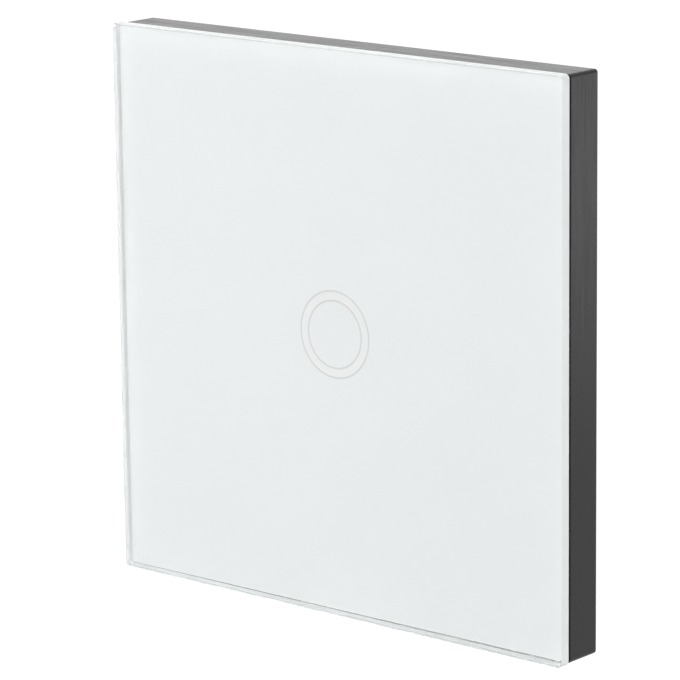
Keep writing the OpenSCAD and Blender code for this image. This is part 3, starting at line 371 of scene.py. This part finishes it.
def moulded(name, shade, tone, rough, grain, depth, edge=0.12, index=1.5):
    """Injection moulded: sparkle of the eroded mould, slow clouds of flow, edges paler as wear and as a
    painted highlight.
    """
    finish, tree, place = new_finish(name)
    flow = put(tree, "TexNoise", {"Vector": place, "Scale": every(FLOW_WIDTH), "Detail": 3.0}).outputs["Fac"]
    spark = put(tree, "TexNoise", {"Vector": place, "Scale": every(grain), "Detail": 2.0}).outputs["Fac"]
    spread = {"From Min": NOISE_LOW, "From Max": NOISE_HIGH, "To Max": SHADE_SHARE}
    cloud = put(tree, "MapRange", {"Value": flow, **spread}).outputs[0]
    fleck = put(tree, "MapRange", {"Value": spark, **spread}).outputs[0]
    soft = put(tree, "Bevel", {"Radius": edge * MM}, samples=4).outputs[0]
    flat = put(tree, "NewGeometry").outputs["Normal"]
    bend = put(tree, "VectorMath", {0: soft, 1: flat}, operation="DOT_PRODUCT").outputs["Value"]
    # Paler near every edge: partly wear, partly a painted highlight
    wear_and_highlight = put(tree, "MapRange", {"Value": bend, "From Min": 1.0, "From Max": WEAR_AND_HIGHLIGHT_BEND}).outputs[0]
    speck = put(tree, "Math", {0: cloud, 1: fleck}, operation="ADD").outputs[0]
    amount = put(tree, "Math", {0: speck, 1: wear_and_highlight}, operation="MAXIMUM").outputs[0]
    tint = put(tree, "Mix", {0: amount, COLOUR_A: linear(shade), COLOUR_B: linear(tone)}, data_type="RGBA")
    matte = put(tree, "MapRange", {"Value": spark, "To Min": rough - ROUGH_SPREAD,
                                   "To Max": rough + ROUGH_SPREAD}).outputs[0]
    skin = put(tree, "Bump", {"Height": spark, "Distance": depth * MM, "Strength": 1.0, "Normal": soft})
    body = put(tree, "BsdfPrincipled", {"Base Color": tint.outputs[COLOUR_OUT], "Roughness": matte,
                                        "Normal": skin.outputs[0], "IOR": index})
    put(tree, "OutputMaterial", {"Surface": body.outputs[0]})
    return finish


# Polycarbonate of the shell: deep black and satin, grey along its edges as wear and as a painted highlight
moulded("black_pc", "#111113", "#38383B", rough=0.48, grain=0.5, depth=0.035, edge=0.35, index=1.58)
# Natural nylon of the bushes and spacers: milky and a little warm
moulded("nylon", "#DAD6C8", "#E4E1D6", rough=0.4, grain=0.5, depth=0.008, index=1.53)
# Polyamide of the terminal block: pale grey and dry
moulded("block_grey", "#B9BCBD", "#D3D6D6", rough=0.45, grain=0.4, depth=0.03, edge=0.2, index=1.53)
# Polyester of the link socket and the relay's base: an even black with a fine satin
moulded("socket_black", "#161617", "#1C1C1E", rough=0.4, grain=0.3, depth=0.01)
# Case of the relay: dark blue and smooth, so its edges show as thin lights
moulded("relay_blue", "#1E2A44", "#22304C", rough=0.3, grain=0.4, depth=0.006)
# Nylon of the relay's bobbin: cream, warmer than the bushes
moulded("bobbin_nylon", "#D2CBB4", "#DDD7C4", rough=0.4, grain=0.4, depth=0.008)
# Box of the film capacitor: clear yellow with a soft gloss
moulded("film_yellow", "#D2A21E", "#DDAE2A", rough=0.3, grain=0.4, depth=0.006)
# Body of the fuse: dark brown and dull
moulded("fuse_brown", "#3A2A20", "#433126", rough=0.4, grain=0.3, depth=0.01)
# Epoxy of the chips: near black, with a fine matte grain
chip_epoxy = moulded("chip_epoxy", "#1A1A1B", "#212122", rough=0.5, grain=0.15, depth=0.01, edge=0.05)
print("finishes so far:", len(bpy.data.materials))

# %% The frame's dark ABS, with the fine lines of its mould along every side
# In millimetres; the real lines and grain are finer, and are drawn coarse enough to show
FRAME_EDGE, FRAME_LINE, FRAME_GRAIN, FRAME_DEPTH = 0.15, 0.6, 0.3, 0.008
SHEEN_LOW, SHEEN_HIGH = 0.22, 0.34
ABS_INDEX, ABS_SPECULAR = 1.53, 0.26
# A line is drawn about fifteen times longer than it is wide, whichever way the side runs
ALONG_SIDES = (0.07, 1, 0.07)
grey_abs, tree, place = new_finish("grey_abs")
drawn = put(tree, "Mapping", {"Vector": place, "Scale": ALONG_SIDES}).outputs[0]
line = put(tree, "TexNoise", {"Vector": drawn, "Scale": every(FRAME_LINE), "Detail": 3.0}).outputs["Fac"]
grit = put(tree, "TexNoise", {"Vector": place, "Scale": every(FRAME_GRAIN), "Detail": 3.0}).outputs["Fac"]
fleck = put(tree, "MapRange", {"Value": grit, "From Min": NOISE_LOW, "From Max": NOISE_HIGH}).outputs[0]
tint = put(tree, "Mix", {0: fleck, COLOUR_A: linear("#0A0A0A"), COLOUR_B: linear("#1E1E1E")},
           data_type="RGBA").outputs[COLOUR_OUT]
sheen = put(tree, "MapRange", {"Value": line, "From Min": NOISE_LOW, "From Max": NOISE_HIGH,
                               "To Min": SHEEN_LOW, "To Max": SHEEN_HIGH}).outputs[0]
soft = put(tree, "Bevel", {"Radius": FRAME_EDGE * MM}, samples=6).outputs[0]
skin = put(tree, "Bump", {"Height": grit, "Distance": FRAME_DEPTH * MM, "Strength": 1.0, "Normal": soft})
body = put(tree, "BsdfPrincipled", {"Base Color": tint, "Roughness": sheen, "Normal": skin.outputs[0],
                                    "IOR": ABS_INDEX, "Specular IOR Level": ABS_SPECULAR})
put(tree, "OutputMaterial", {"Surface": body.outputs[0]})
print(grey_abs.name, "lines every", FRAME_LINE, "mm, grain", FRAME_GRAIN, "mm, soft edge", FRAME_EDGE, "mm")

# %% [markdown]
# Plated and drawn metals.
# The wall plate is stamped zinc-plated steel, the screws and rivets are headed from wire, and the
# contacts are brass and silver. Plating shows as a mottle of brighter and duller crystals, and
# rolling or drawing as fine lines in one direction. Metals keep the default index, and get their
# colour from the base colour with full metallic.

# %% Metals
# Mottle, line, edge and depth are in millimetres; a real tool line is a few hundredths of one wide,
# and is drawn five to ten times coarser so that it shows
TOOL_DEPTH, DULLER, BRIGHTER = 0.004, 0.1, 0.08


def plated(name, bright, dull, rough, mottle, line, stretch=(1, 1, 1), edge=0.06):
    """A metal with mottled plating and fine tool lines, stretched along one axis."""
    finish, tree, place = new_finish(name)
    crystal = put(tree, "TexNoise", {"Vector": place, "Scale": every(mottle), "Detail": 4.0}).outputs["Fac"]
    drawn = put(tree, "Mapping", {"Vector": place, "Scale": stretch}).outputs[0]
    scratch = put(tree, "TexNoise", {"Vector": drawn, "Scale": every(line), "Detail": 2.0}).outputs["Fac"]
    tint = put(tree, "Mix", {0: crystal, COLOUR_A: linear(dull), COLOUR_B: linear(bright)}, data_type="RGBA")
    satin = put(tree, "MapRange", {"Value": crystal, "To Min": rough + DULLER, "To Max": rough - BRIGHTER})
    soft = put(tree, "Bevel", {"Radius": edge * MM}, samples=4).outputs[0]
    skin = put(tree, "Bump", {"Height": scratch, "Distance": TOOL_DEPTH * MM, "Strength": 1.0,
                              "Normal": soft})
    body = put(tree, "BsdfPrincipled", {"Base Color": tint.outputs[COLOUR_OUT], "Metallic": 1.0,
                                        "Roughness": satin.outputs[0], "Normal": skin.outputs[0]})
    put(tree, "OutputMaterial", {"Surface": body.outputs[0]})
    return finish


# Rolled strip has lines across the switch, drawn wire from its front to its back
ROLLED, DRAWN = (0.08, 1, 1), (1, 0.15, 1)
# Zinc on the wall plate: broad crystals over long rolling lines
plated("zinc_steel", "#C9CDD2", "#A9AEB4", rough=0.34, mottle=2.5, line=0.3, stretch=ROLLED)
# Plating on the screws: brighter, with a small mottle
plated("screw_steel", "#CFD1D4", "#B4B6BA", rough=0.28, mottle=0.8, line=0.15, stretch=DRAWN)
# Bare aluminium of the rivets: pale and even
plated("rivet_aluminium", "#D9DADB", "#C6C8CA", rough=0.3, mottle=0.6, line=0.15)
# Hard wire of the touch spring: bright and smooth
spring_steel = plated("spring_steel", "#CFCFCF", "#B9BABB", rough=0.26, mottle=0.4, line=0.1)
# Tin on legs, leads and ends: soft and a little uneven
solder_tin = plated("solder_tin", "#C8C9CB", "#AEB0B3", rough=0.25, mottle=0.5, line=0.2)
# Gold over copper on the pad and the link pins: warm yellow
plated("gold_copper", "#E3B76A", "#D2A455", rough=0.3, mottle=0.6, line=0.2)
# Rolled brass of the clamps, bars and relay strips: yellow with fine lines
plated("contact_brass", "#DDBB6E", "#C9A557", rough=0.3, mottle=0.8, line=0.2, stretch=ROLLED)
# Silver of the contacts: the palest of the metals
plated("contact_silver", "#E6E6E4", "#CFCFCD", rough=0.25, mottle=0.4, line=0.1)
# Soft iron of the relay's magnet: greyer and duller
plated("relay_iron", "#B9BABD", "#9C9DA1", rough=0.35, mottle=0.8, line=0.2, stretch=ROLLED)
print("finishes so far:", len(bpy.data.materials))

# %% [markdown]
# The small parts' own skins.
# Circuit boards wear a lacquer over copper, which stands up a little where a track runs below it.
# Bonding tape is a matte film, ferrite a dark sintered stone, a varistor a dipped lens of epoxy,
# and a capacitor can a thin shrunk sleeve. Each gets its own few nodes.

# %% Lacquered boards
# A thread of the glass weave lies about every half millimetre; at scale 1 a wave texture repeats
# every tenth of pi, and a noise about every unit
THREAD, LACQUER_CLOUD = 0.5027, 3
WEAVE_SCALE = every(THREAD) * pi / 10
WEAVE_WANDER, WEAVE_DEPTH, WEAVE_SHOW = 0.6, 0.004, 0.6


def lacquered(name, shade, tone, rough):
    """Solder lacquer over copper: glassy, with the weave of the board showing as a faint cross grain."""
    finish, tree, place = new_finish(name)
    threads = {"Vector": place, "Scale": WEAVE_SCALE, "Distortion": WEAVE_WANDER}
    weft = put(tree, "TexWave", threads, bands_direction="X").outputs["Fac"]
    warp = put(tree, "TexWave", threads, bands_direction="Z").outputs["Fac"]
    weave = put(tree, "Math", {0: weft, 1: warp}, operation="ADD").outputs[0]
    cloud = put(tree, "TexNoise", {"Vector": place, "Scale": every(LACQUER_CLOUD), "Detail": 3.0})
    tint = put(tree, "Mix", {0: cloud.outputs["Fac"], COLOUR_A: linear(shade), COLOUR_B: linear(tone)},
               data_type="RGBA")
    skin = put(tree, "Bump", {"Height": weave, "Distance": WEAVE_DEPTH * MM, "Strength": WEAVE_SHOW})
    body = put(tree, "BsdfPrincipled", {"Base Color": tint.outputs[COLOUR_OUT], "Roughness": rough,
                                        "Normal": skin.outputs[0]})
    put(tree, "OutputMaterial", {"Surface": body.outputs[0]})
    return finish


# White lacquer of the touch board, which throws light back to the ring
lacquered("white_board", "#E2E2DA", "#EAEAE4", rough=0.32)
# Copper below the same lacquer: a shade darker and warmer
masked_copper = lacquered("masked_copper", "#CFCDBF", "#D6D4C8", rough=0.32)
# Green lacquer of the power board: deep and glassy
lacquered("green_board", "#10512F", "#176339", rough=0.28)
print("finishes so far:", len(bpy.data.materials))

# %% Tape, ferrite, ceramic and dipped epoxy
# Grain and depth are in millimetres; real powder is finer, and is drawn coarse enough to show
# A cloud of shade is four grains wide
CLOUD_GRAINS, COAT_ROUGH = 4, 0.1


def grained(name, shade, tone, rough, grain, depth, coat=0.0):
    """A body with a grain of its own: film, pressed powder or a dipped skin, clear coated or bare."""
    finish, tree, place = new_finish(name)
    cell = put(tree, "TexVoronoi", {"Vector": place, "Scale": every(grain)}).outputs["Distance"]
    cloud = put(tree, "TexNoise", {"Vector": place, "Scale": every(grain * CLOUD_GRAINS), "Detail": 3.0})
    tint = put(tree, "Mix", {0: cloud.outputs["Fac"], COLOUR_A: linear(shade), COLOUR_B: linear(tone)},
               data_type="RGBA")
    skin = put(tree, "Bump", {"Height": cell, "Distance": depth * MM, "Strength": 1.0}).outputs[0]
    body = put(tree, "BsdfPrincipled", {"Base Color": tint.outputs[COLOUR_OUT], "Roughness": rough,
                                        "Normal": skin, "Coat Weight": coat, "Coat Roughness": COAT_ROUGH})
    put(tree, "OutputMaterial", {"Surface": body.outputs[0]})
    return finish


# Bonding tape: a dull black film that takes hardly any highlight
grained("black_tape", "#0E0E0F", "#161617", rough=0.8, grain=0.3, depth=0.02)
# Ferrite of the choke: dark grey stone with a fine grit
grained("ferrite", "#2E2E30", "#38383A", rough=0.6, grain=0.25, depth=0.015)
# Fired ceramic of the small parts: tan and dry
grained("chip_ceramic", "#8A6A4C", "#9A7A5A", rough=0.5, grain=0.1, depth=0.005)
# Dipped epoxy of the varistor: bright blue with a wet gloss
grained("varistor_blue", "#1B4FA0", "#235BB0", rough=0.35, grain=0.6, depth=0.02, coat=0.4)
# Shrunk sleeve of the capacitor can: dark blue, thin and smooth
grained("can_sleeve", "#1B2036", "#222943", rough=0.3, grain=0.8, depth=0.006, coat=0.3)
print("finishes so far:", len(bpy.data.materials))

# %% Enamelled copper wire: amber varnish over metal, so two glosses lie on each other
WIRE_CLOUD, WIRE_ROUGH, VARNISH = 0.6, 0.3, 0.6
enamelled_copper, tree, place = new_finish("enamelled_copper")
cloud = put(tree, "TexNoise", {"Vector": place, "Scale": every(WIRE_CLOUD), "Detail": 2.0}).outputs["Fac"]
tint = put(tree, "Mix", {0: cloud, COLOUR_A: linear("#A8542C"), COLOUR_B: linear("#BF6A3C")},
           data_type="RGBA").outputs[COLOUR_OUT]
body = put(tree, "BsdfPrincipled", {"Base Color": tint, "Metallic": 1.0, "Roughness": WIRE_ROUGH,
                                    "Coat Weight": VARNISH, "Coat Roughness": COAT_ROUGH})
put(tree, "OutputMaterial", {"Surface": body.outputs[0]})
print("varnish over", enamelled_copper.name)

# %% Frosted acrylic of the light guide: half clear, so it looks milky
# The frost is in millimetres, drawn a few times coarser than the real one so that it shows
FROST, FROST_DEPTH, HAZE_LOW, HAZE_HIGH = 0.2, 0.01, 0.45, 0.65
ACRYLIC_INDEX, ACRYLIC_CLEAR = 1.49, 0.5
guide_acrylic, tree, place = new_finish("guide_acrylic")
frost = put(tree, "TexNoise", {"Vector": place, "Scale": every(FROST), "Detail": 2.0}).outputs["Fac"]
haze = put(tree, "MapRange", {"Value": frost, "To Min": HAZE_LOW, "To Max": HAZE_HIGH}).outputs[0]
skin = put(tree, "Bump", {"Height": frost, "Distance": FROST_DEPTH * MM, "Strength": 1.0}).outputs[0]
body = put(tree, "BsdfPrincipled", {"Base Color": linear("#EEF2F4"), "IOR": ACRYLIC_INDEX, "Roughness": haze,
                                    "Transmission Weight": ACRYLIC_CLEAR, "Normal": skin})
put(tree, "OutputMaterial", {"Surface": body.outputs[0]})
print(guide_acrylic.name, "frosted every", FROST, "mm")

# %% Resin of the diodes: a pale body with a yellow window in front
WINDOW_FROM, WINDOW_FULL, RESIN_ROUGH = -0.8, -0.9, 0.25
led_resin, tree, _ = new_finish("led_resin")
facing = put(tree, "SeparateXYZ", {0: put(tree, "NewGeometry").outputs["Normal"]}).outputs["Y"]
window = put(tree, "MapRange", {"Value": facing, "From Min": WINDOW_FROM, "From Max": WINDOW_FULL}).outputs[0]
tint = put(tree, "Mix", {0: window, COLOUR_A: linear("#EDEBE2"), COLOUR_B: linear("#E5C64A")},
           data_type="RGBA").outputs[COLOUR_OUT]
body = put(tree, "BsdfPrincipled", {"Base Color": tint, "Roughness": RESIN_ROUGH})
put(tree, "OutputMaterial", {"Surface": body.outputs[0]})
print(led_resin.name, "made, finishes in all:", len(bpy.data.materials))

# %% Dress every solid with the finish of its slot
finishes = {f.name: f for f in bpy.data.materials}
finishes["clear_glass"] = float_glass
slot_of = {part["node"]: part["material_slot"] for part in frame["record"]["subparts"]}
for name, solid in nodes.items():
    solid.data.materials.clear()
    solid.data.materials.append(finishes[slot_of[name]])
print("dressed:", len(slot_of))

# %% [markdown]
# Chips and their legs.
# Each chip is a black epoxy block with two rows of tinned legs that bend down to the board like a
# gull's wing. The solids hold plain bars in their place. A block could be bevelled by a modifier,
# but here the edge loop is cut in the mesh, so that the piece stays one simple shape, and the legs
# are flat ribbons thickened by a Solidify modifier, as they are stamped from strip.

# %% Chips built in the boxes of their solids
LEG_REACH, LEG_WIDTH, LEG_PITCH, LEG_STRIP = 0.9 * MM, 0.4 * MM, 1.27 * MM, 0.15 * MM
CHIP_LIFT, CHIP_EDGE = 0.1 * MM, 0.12 * MM
DOT_RADIUS, DOT_THICK, DOT_PROUD, DOT_STEPS = 0.35 * MM, 0.04 * MM, 0.01 * MM, 20
# Way out from the chip and height above the board, as shares of the reach and the chip's height
LEG_BEND = ((-0.1, 0.5), (0.25, 0.5), (0.4, 0.4), (0.5, 0.14), (0.62, 0.06), (1.0, 0.06))


def block(shape, low, high):
    """Adds a box between two corners to a bmesh."""
    size = [b - a for a, b in zip(low, high)]
    middle = Vector([(a + b) / 2 for a, b in zip(low, high)])
    bmesh.ops.create_cube(shape, size=1, matrix=Matrix.Translation(middle) @ Matrix.Diagonal((*size, 1)))


def soften(shape, width):
    """Bevels every edge that a bmesh has."""
    bmesh.ops.bevel(shape, geom=shape.edges[:], offset=width, segments=2, profile=0.7, affect="EDGES")


def dress_chip(node, legs):
    """An epoxy block with a round mark beside its first leg, and its two rows of bent legs."""
    low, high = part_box(node)
    side = (high.z - low.z) / 2 - LEG_REACH
    mid_x, mid_z, tall = (low.x + high.x) / 2, (low.z + high.z) / 2, high.y - low.y
    shape = bmesh.new()
    block(shape, (low.x, low.y, mid_z - side), (high.x, high.y - CHIP_LIFT, mid_z + side))
    soften(shape, CHIP_EDGE)
    dot_y = low.y + DOT_THICK / 2 - DOT_PROUD
    dot_at = Vector((low.x + 2 * DOT_RADIUS, dot_y, mid_z - side + 2 * DOT_RADIUS))
    facing = Matrix.Translation(dot_at) @ Matrix.Rotation(radians(90), 4, "X")
    bmesh.ops.create_cone(shape, cap_ends=True, segments=DOT_STEPS, radius1=DOT_RADIUS,
                          radius2=DOT_RADIUS, depth=DOT_THICK, matrix=facing)
    package = make_piece(node + "_block", as_mesh(node + "_block", shape), "module", chip_epoxy)
    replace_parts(package, node)
    strip = bmesh.new()
    for row in (-1, 1):
        for i in range(legs):
            x = mid_x + (i - (legs - 1) / 2) * LEG_PITCH
            points = [(mid_z + row * (side + out * LEG_REACH), high.y - up * tall) for out, up in LEG_BEND]
            pairs = [[strip.verts.new((x + e * LEG_WIDTH / 2, y, z)) for e in (-1, 1)] for z, y in points]
            for (a, b), (c, d) in zip(pairs, pairs[1:]):
                strip.faces.new((a, b, d, c))
    bmesh.ops.recalc_face_normals(strip, faces=strip.faces[:])
    row_piece = make_piece(node + "_legs", as_mesh(node + "_legs", strip), "module", solder_tin)
    thick = row_piece.modifiers.new("strip", "SOLIDIFY")
    thick.thickness = LEG_STRIP
    thick.offset = 0
    return 2 * legs


for node, legs in {"touch_chip": 4, "driver_chip": 4, "rectifier": 2}.items():
    print(node, "has", dress_chip(node, legs), "legs")

# %% [markdown]
# Tinned ends.
# The grains of ceramic on the boards are resistors and capacitors, each with two dipped metal ends
# that the solder holds. The ends are found from the solids: each separate box in a node gets two
# caps on its long axis, a hair wider than the ceramic.

# %% End caps on the small ceramic parts
CAP_LENGTH, CAP_PROUD, CAP_EDGE = 0.36 * MM, 0.02 * MM, 0.04 * MM
SAME_PLACE = 0.001 * MM


def solids_in(node):
    """The boxes, as lowest and highest corner, of the separate solids of a node."""
    shape = bmesh.new()
    shape.from_mesh(nodes[node].data)
    bmesh.ops.remove_doubles(shape, verts=shape.verts[:], dist=SAME_PLACE)
    left, boxes = set(shape.verts), []
    while left:
        queue, found = [left.pop()], []
        while queue:
            vert = queue.pop()
            found.append(vert.co.copy())
            near = [edge.other_vert(vert) for edge in vert.link_edges]
            queue += [other for other in near if other in left]
            left.difference_update(near)
        boxes.append([Vector(pick(c[i] for c in found) for i in range(3)) for pick in (min, max)])
    shape.free()
    return boxes


def tinned_ends(node):
    """Two metal caps on the long axis of every part in a node."""
    shape = bmesh.new()
    grains = solids_in(node)
    front, sides = Vector((0, CAP_PROUD, 0)), Vector((CAP_PROUD, 0, CAP_PROUD))
    for low, high in grains:
        axis = 0 if high.x - low.x > high.z - low.z else 2
        inner_low, inner_high = low.copy(), high.copy()
        inner_low[axis] = high[axis] - CAP_LENGTH
        inner_high[axis] = low[axis] + CAP_LENGTH
        for a, b in ((low, inner_high), (inner_low, high)):
            block(shape, a - sides - front, b + sides)
    soften(shape, CAP_EDGE)
    make_piece(node + "_ends", as_mesh(node + "_ends", shape), "module", solder_tin)
    return len(grains)


for node in ("touch_passives", "power_passives"):
    print(node, "has", tinned_ends(node), "parts with tinned ends")

# %% [markdown]
# The touch spring and the two windings.
# A conical spring of thin wire carries the touch from the glass to the board, and inside the module
# wire is wound on the relay's bobbin and on the choke. Wire is best drawn as what it is, a path with
# a round section: a curve with a bevel. The spring follows the same cone as its solid, and each
# winding is its outer layer, turn beside turn, in the room of its solid.

# %% The touch spring, as wire along a path
SPRING_WIRE, SPRING_INNER, SPRING_OUTER = 0.3 * MM, 1.6 * MM, 3.2 * MM
SPRING_TURNS, SPRING_STEPS = 2, 48
# Height of the straight ends, and of the bends that lead into them
SPRING_END, SPRING_BEND = 1.5 * SPRING_WIRE, 0.4 * SPRING_WIRE


def wire_piece(name, points, diameter, body, finish, sides=2):
    """A round wire along points, as a curve with a bevel."""
    path = bpy.data.curves.new(name, "CURVE")
    path.dimensions = "3D"
    path.bevel_depth = diameter / 2
    path.bevel_resolution = sides
    path.use_fill_caps = True
    spline = path.splines.new("POLY")
    spline.points.add(len(points) - 1)
    for knot, point in zip(spline.points, points):
        knot.co = (*point, 1)
    return make_piece(name, path, body, finish)


low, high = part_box("touch_spring")
first, last = high.y - SPRING_END, low.y + SPRING_END
cone = []
for i in range(SPRING_TURNS * SPRING_STEPS + 1):
    f, a = i / (SPRING_TURNS * SPRING_STEPS), 2 * pi * i / SPRING_STEPS
    r = SPRING_INNER + (SPRING_OUTER - SPRING_INNER) * f
    cone.append((r * cos(a), first + (last - first) * f, r * sin(a)))
foot = [(SPRING_INNER, high.y, 0), (SPRING_INNER, first + SPRING_BEND, 0)]
tip = [(SPRING_OUTER, last - SPRING_BEND, 0), (SPRING_OUTER, low.y, 0)]
spring = wire_piece("touch_spring_wire", foot + cone[1:-1] + tip, SPRING_WIRE, "module", spring_steel)
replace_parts(spring, "touch_spring")
print("spring:", SPRING_TURNS, "turns,", len(cone), "points")

# %% The outer layer of each winding
WIND_STEPS = 24


def wind(node, diameter):
    """A close helix of wire that fills the outside of a winding's solid."""
    low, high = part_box(node)
    middle, reach = (low + high) / 2, (high.x - low.x) / 2 - diameter / 2
    turns = int((high.y - low.y - diameter) / diameter)
    pitch = (high.y - low.y - diameter) / turns
    points = []
    for i in range(turns * WIND_STEPS + 1):
        a = 2 * pi * i / WIND_STEPS
        y = low.y + diameter / 2 + pitch * i / WIND_STEPS
        points.append((middle.x + reach * cos(a), y, middle.z + reach * sin(a)))
    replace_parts(wire_piece(node + "_wire", points, diameter, "module", enamelled_copper, 1), node)
    return turns


for node, diameter in {"relay_winding": 0.22 * MM, "choke_winding": 0.36 * MM}.items():
    print(node, "has", wind(node, diameter), "turns in its outer layer")

# %% [markdown]
# Tracks under the lacquer.
# The touch board's copper runs from the plug pins to the small parts and from the chip round to the
# sides, and stands up under the white lacquer as a slightly darker line. The lines could be painted
# by a pattern, but real strips catch the light at their edges, so each run is one thin strip on the
# board, and each corner of a run has a small tinned hole.

# %% Tracks and holes on the touch board
TRACK_WIDTH, TRACK_HEIGHT = 0.3 * MM, 0.035 * MM
HOLE_RADIUS, HOLE_BORE, HOLE_HEIGHT, HOLE_STEPS = 0.32 * MM, 0.14 * MM, 0.045 * MM, 16
board_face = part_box("touch_board")[0].y
# Places in millimetres across and up the board; no two runs cross
RUNS = [[(x, 17.0), (x, 9.0)] for x in (-5.08, -2.54, 0, 2.54, 5.08)] + [
    [(-1.905, -13.3), (-1.905, -14.6), (-9.2, -14.6), (-9.2, 5.2), (-5.4, 7.6)],
    [(-0.635, -13.3), (-0.635, -15.4), (-11.65, -15.4), (-11.65, -0.5)],
    [(0.635, -13.3), (0.635, -15.4), (11.65, -15.4), (11.65, -0.5)],
    [(1.905, -13.3), (1.905, -14.6), (9.15, -14.6), (9.15, -0.5)],
    [(-14.15, 0.5), (-14.15, 9.5), (-7.2, 16.0), (-5.6, 17.0)],
    [(14.15, 0.5), (14.15, 9.5), (7.2, 16.0), (5.6, 17.0)],
]


def track(shape, run):
    """Adds one closed strip along a run, mitred at its corners, to a bmesh."""
    knots = [Vector(place) * MM for place in run]
    ways = [(b - a).normalized() for a, b in zip(knots, knots[1:])]
    loops = []
    for knot, before, after in zip(knots, ways[:1] + ways, ways + ways[-1:]):
        mean = (before + after).normalized()
        side = Vector((-mean.y, mean.x)) * (TRACK_WIDTH / 2 / mean.dot(after))
        one, other = knot + side, knot - side
        rim = ((one, 0), (other, 0), (other, TRACK_HEIGHT), (one, TRACK_HEIGHT))
        loops.append([shape.verts.new((spot.x, board_face - rise, spot.y)) for spot, rise in rim])
    tube_faces(shape, loops)
    shape.faces.new(loops[0])
    shape.faces.new(loops[-1])


strips, holes = bmesh.new(), bmesh.new()
hole_face = board_face - HOLE_HEIGHT
for run in RUNS:
    track(strips, run)
    for x, z in run[1:-1]:
        flat_ring(holes, HOLE_BORE, HOLE_RADIUS, hole_face, board_face, HOLE_STEPS, x * MM, z * MM)
for shape in (strips, holes):
    bmesh.ops.recalc_face_normals(shape, faces=shape.faces[:])
track_mesh, hole_mesh = as_mesh("touch_board_tracks", strips), as_mesh("touch_board_holes", holes)
make_piece("touch_board_tracks", track_mesh, "module", masked_copper)
make_piece("touch_board_holes", hole_mesh, "module", solder_tin)
print("tracks:", len(RUNS), "runs")
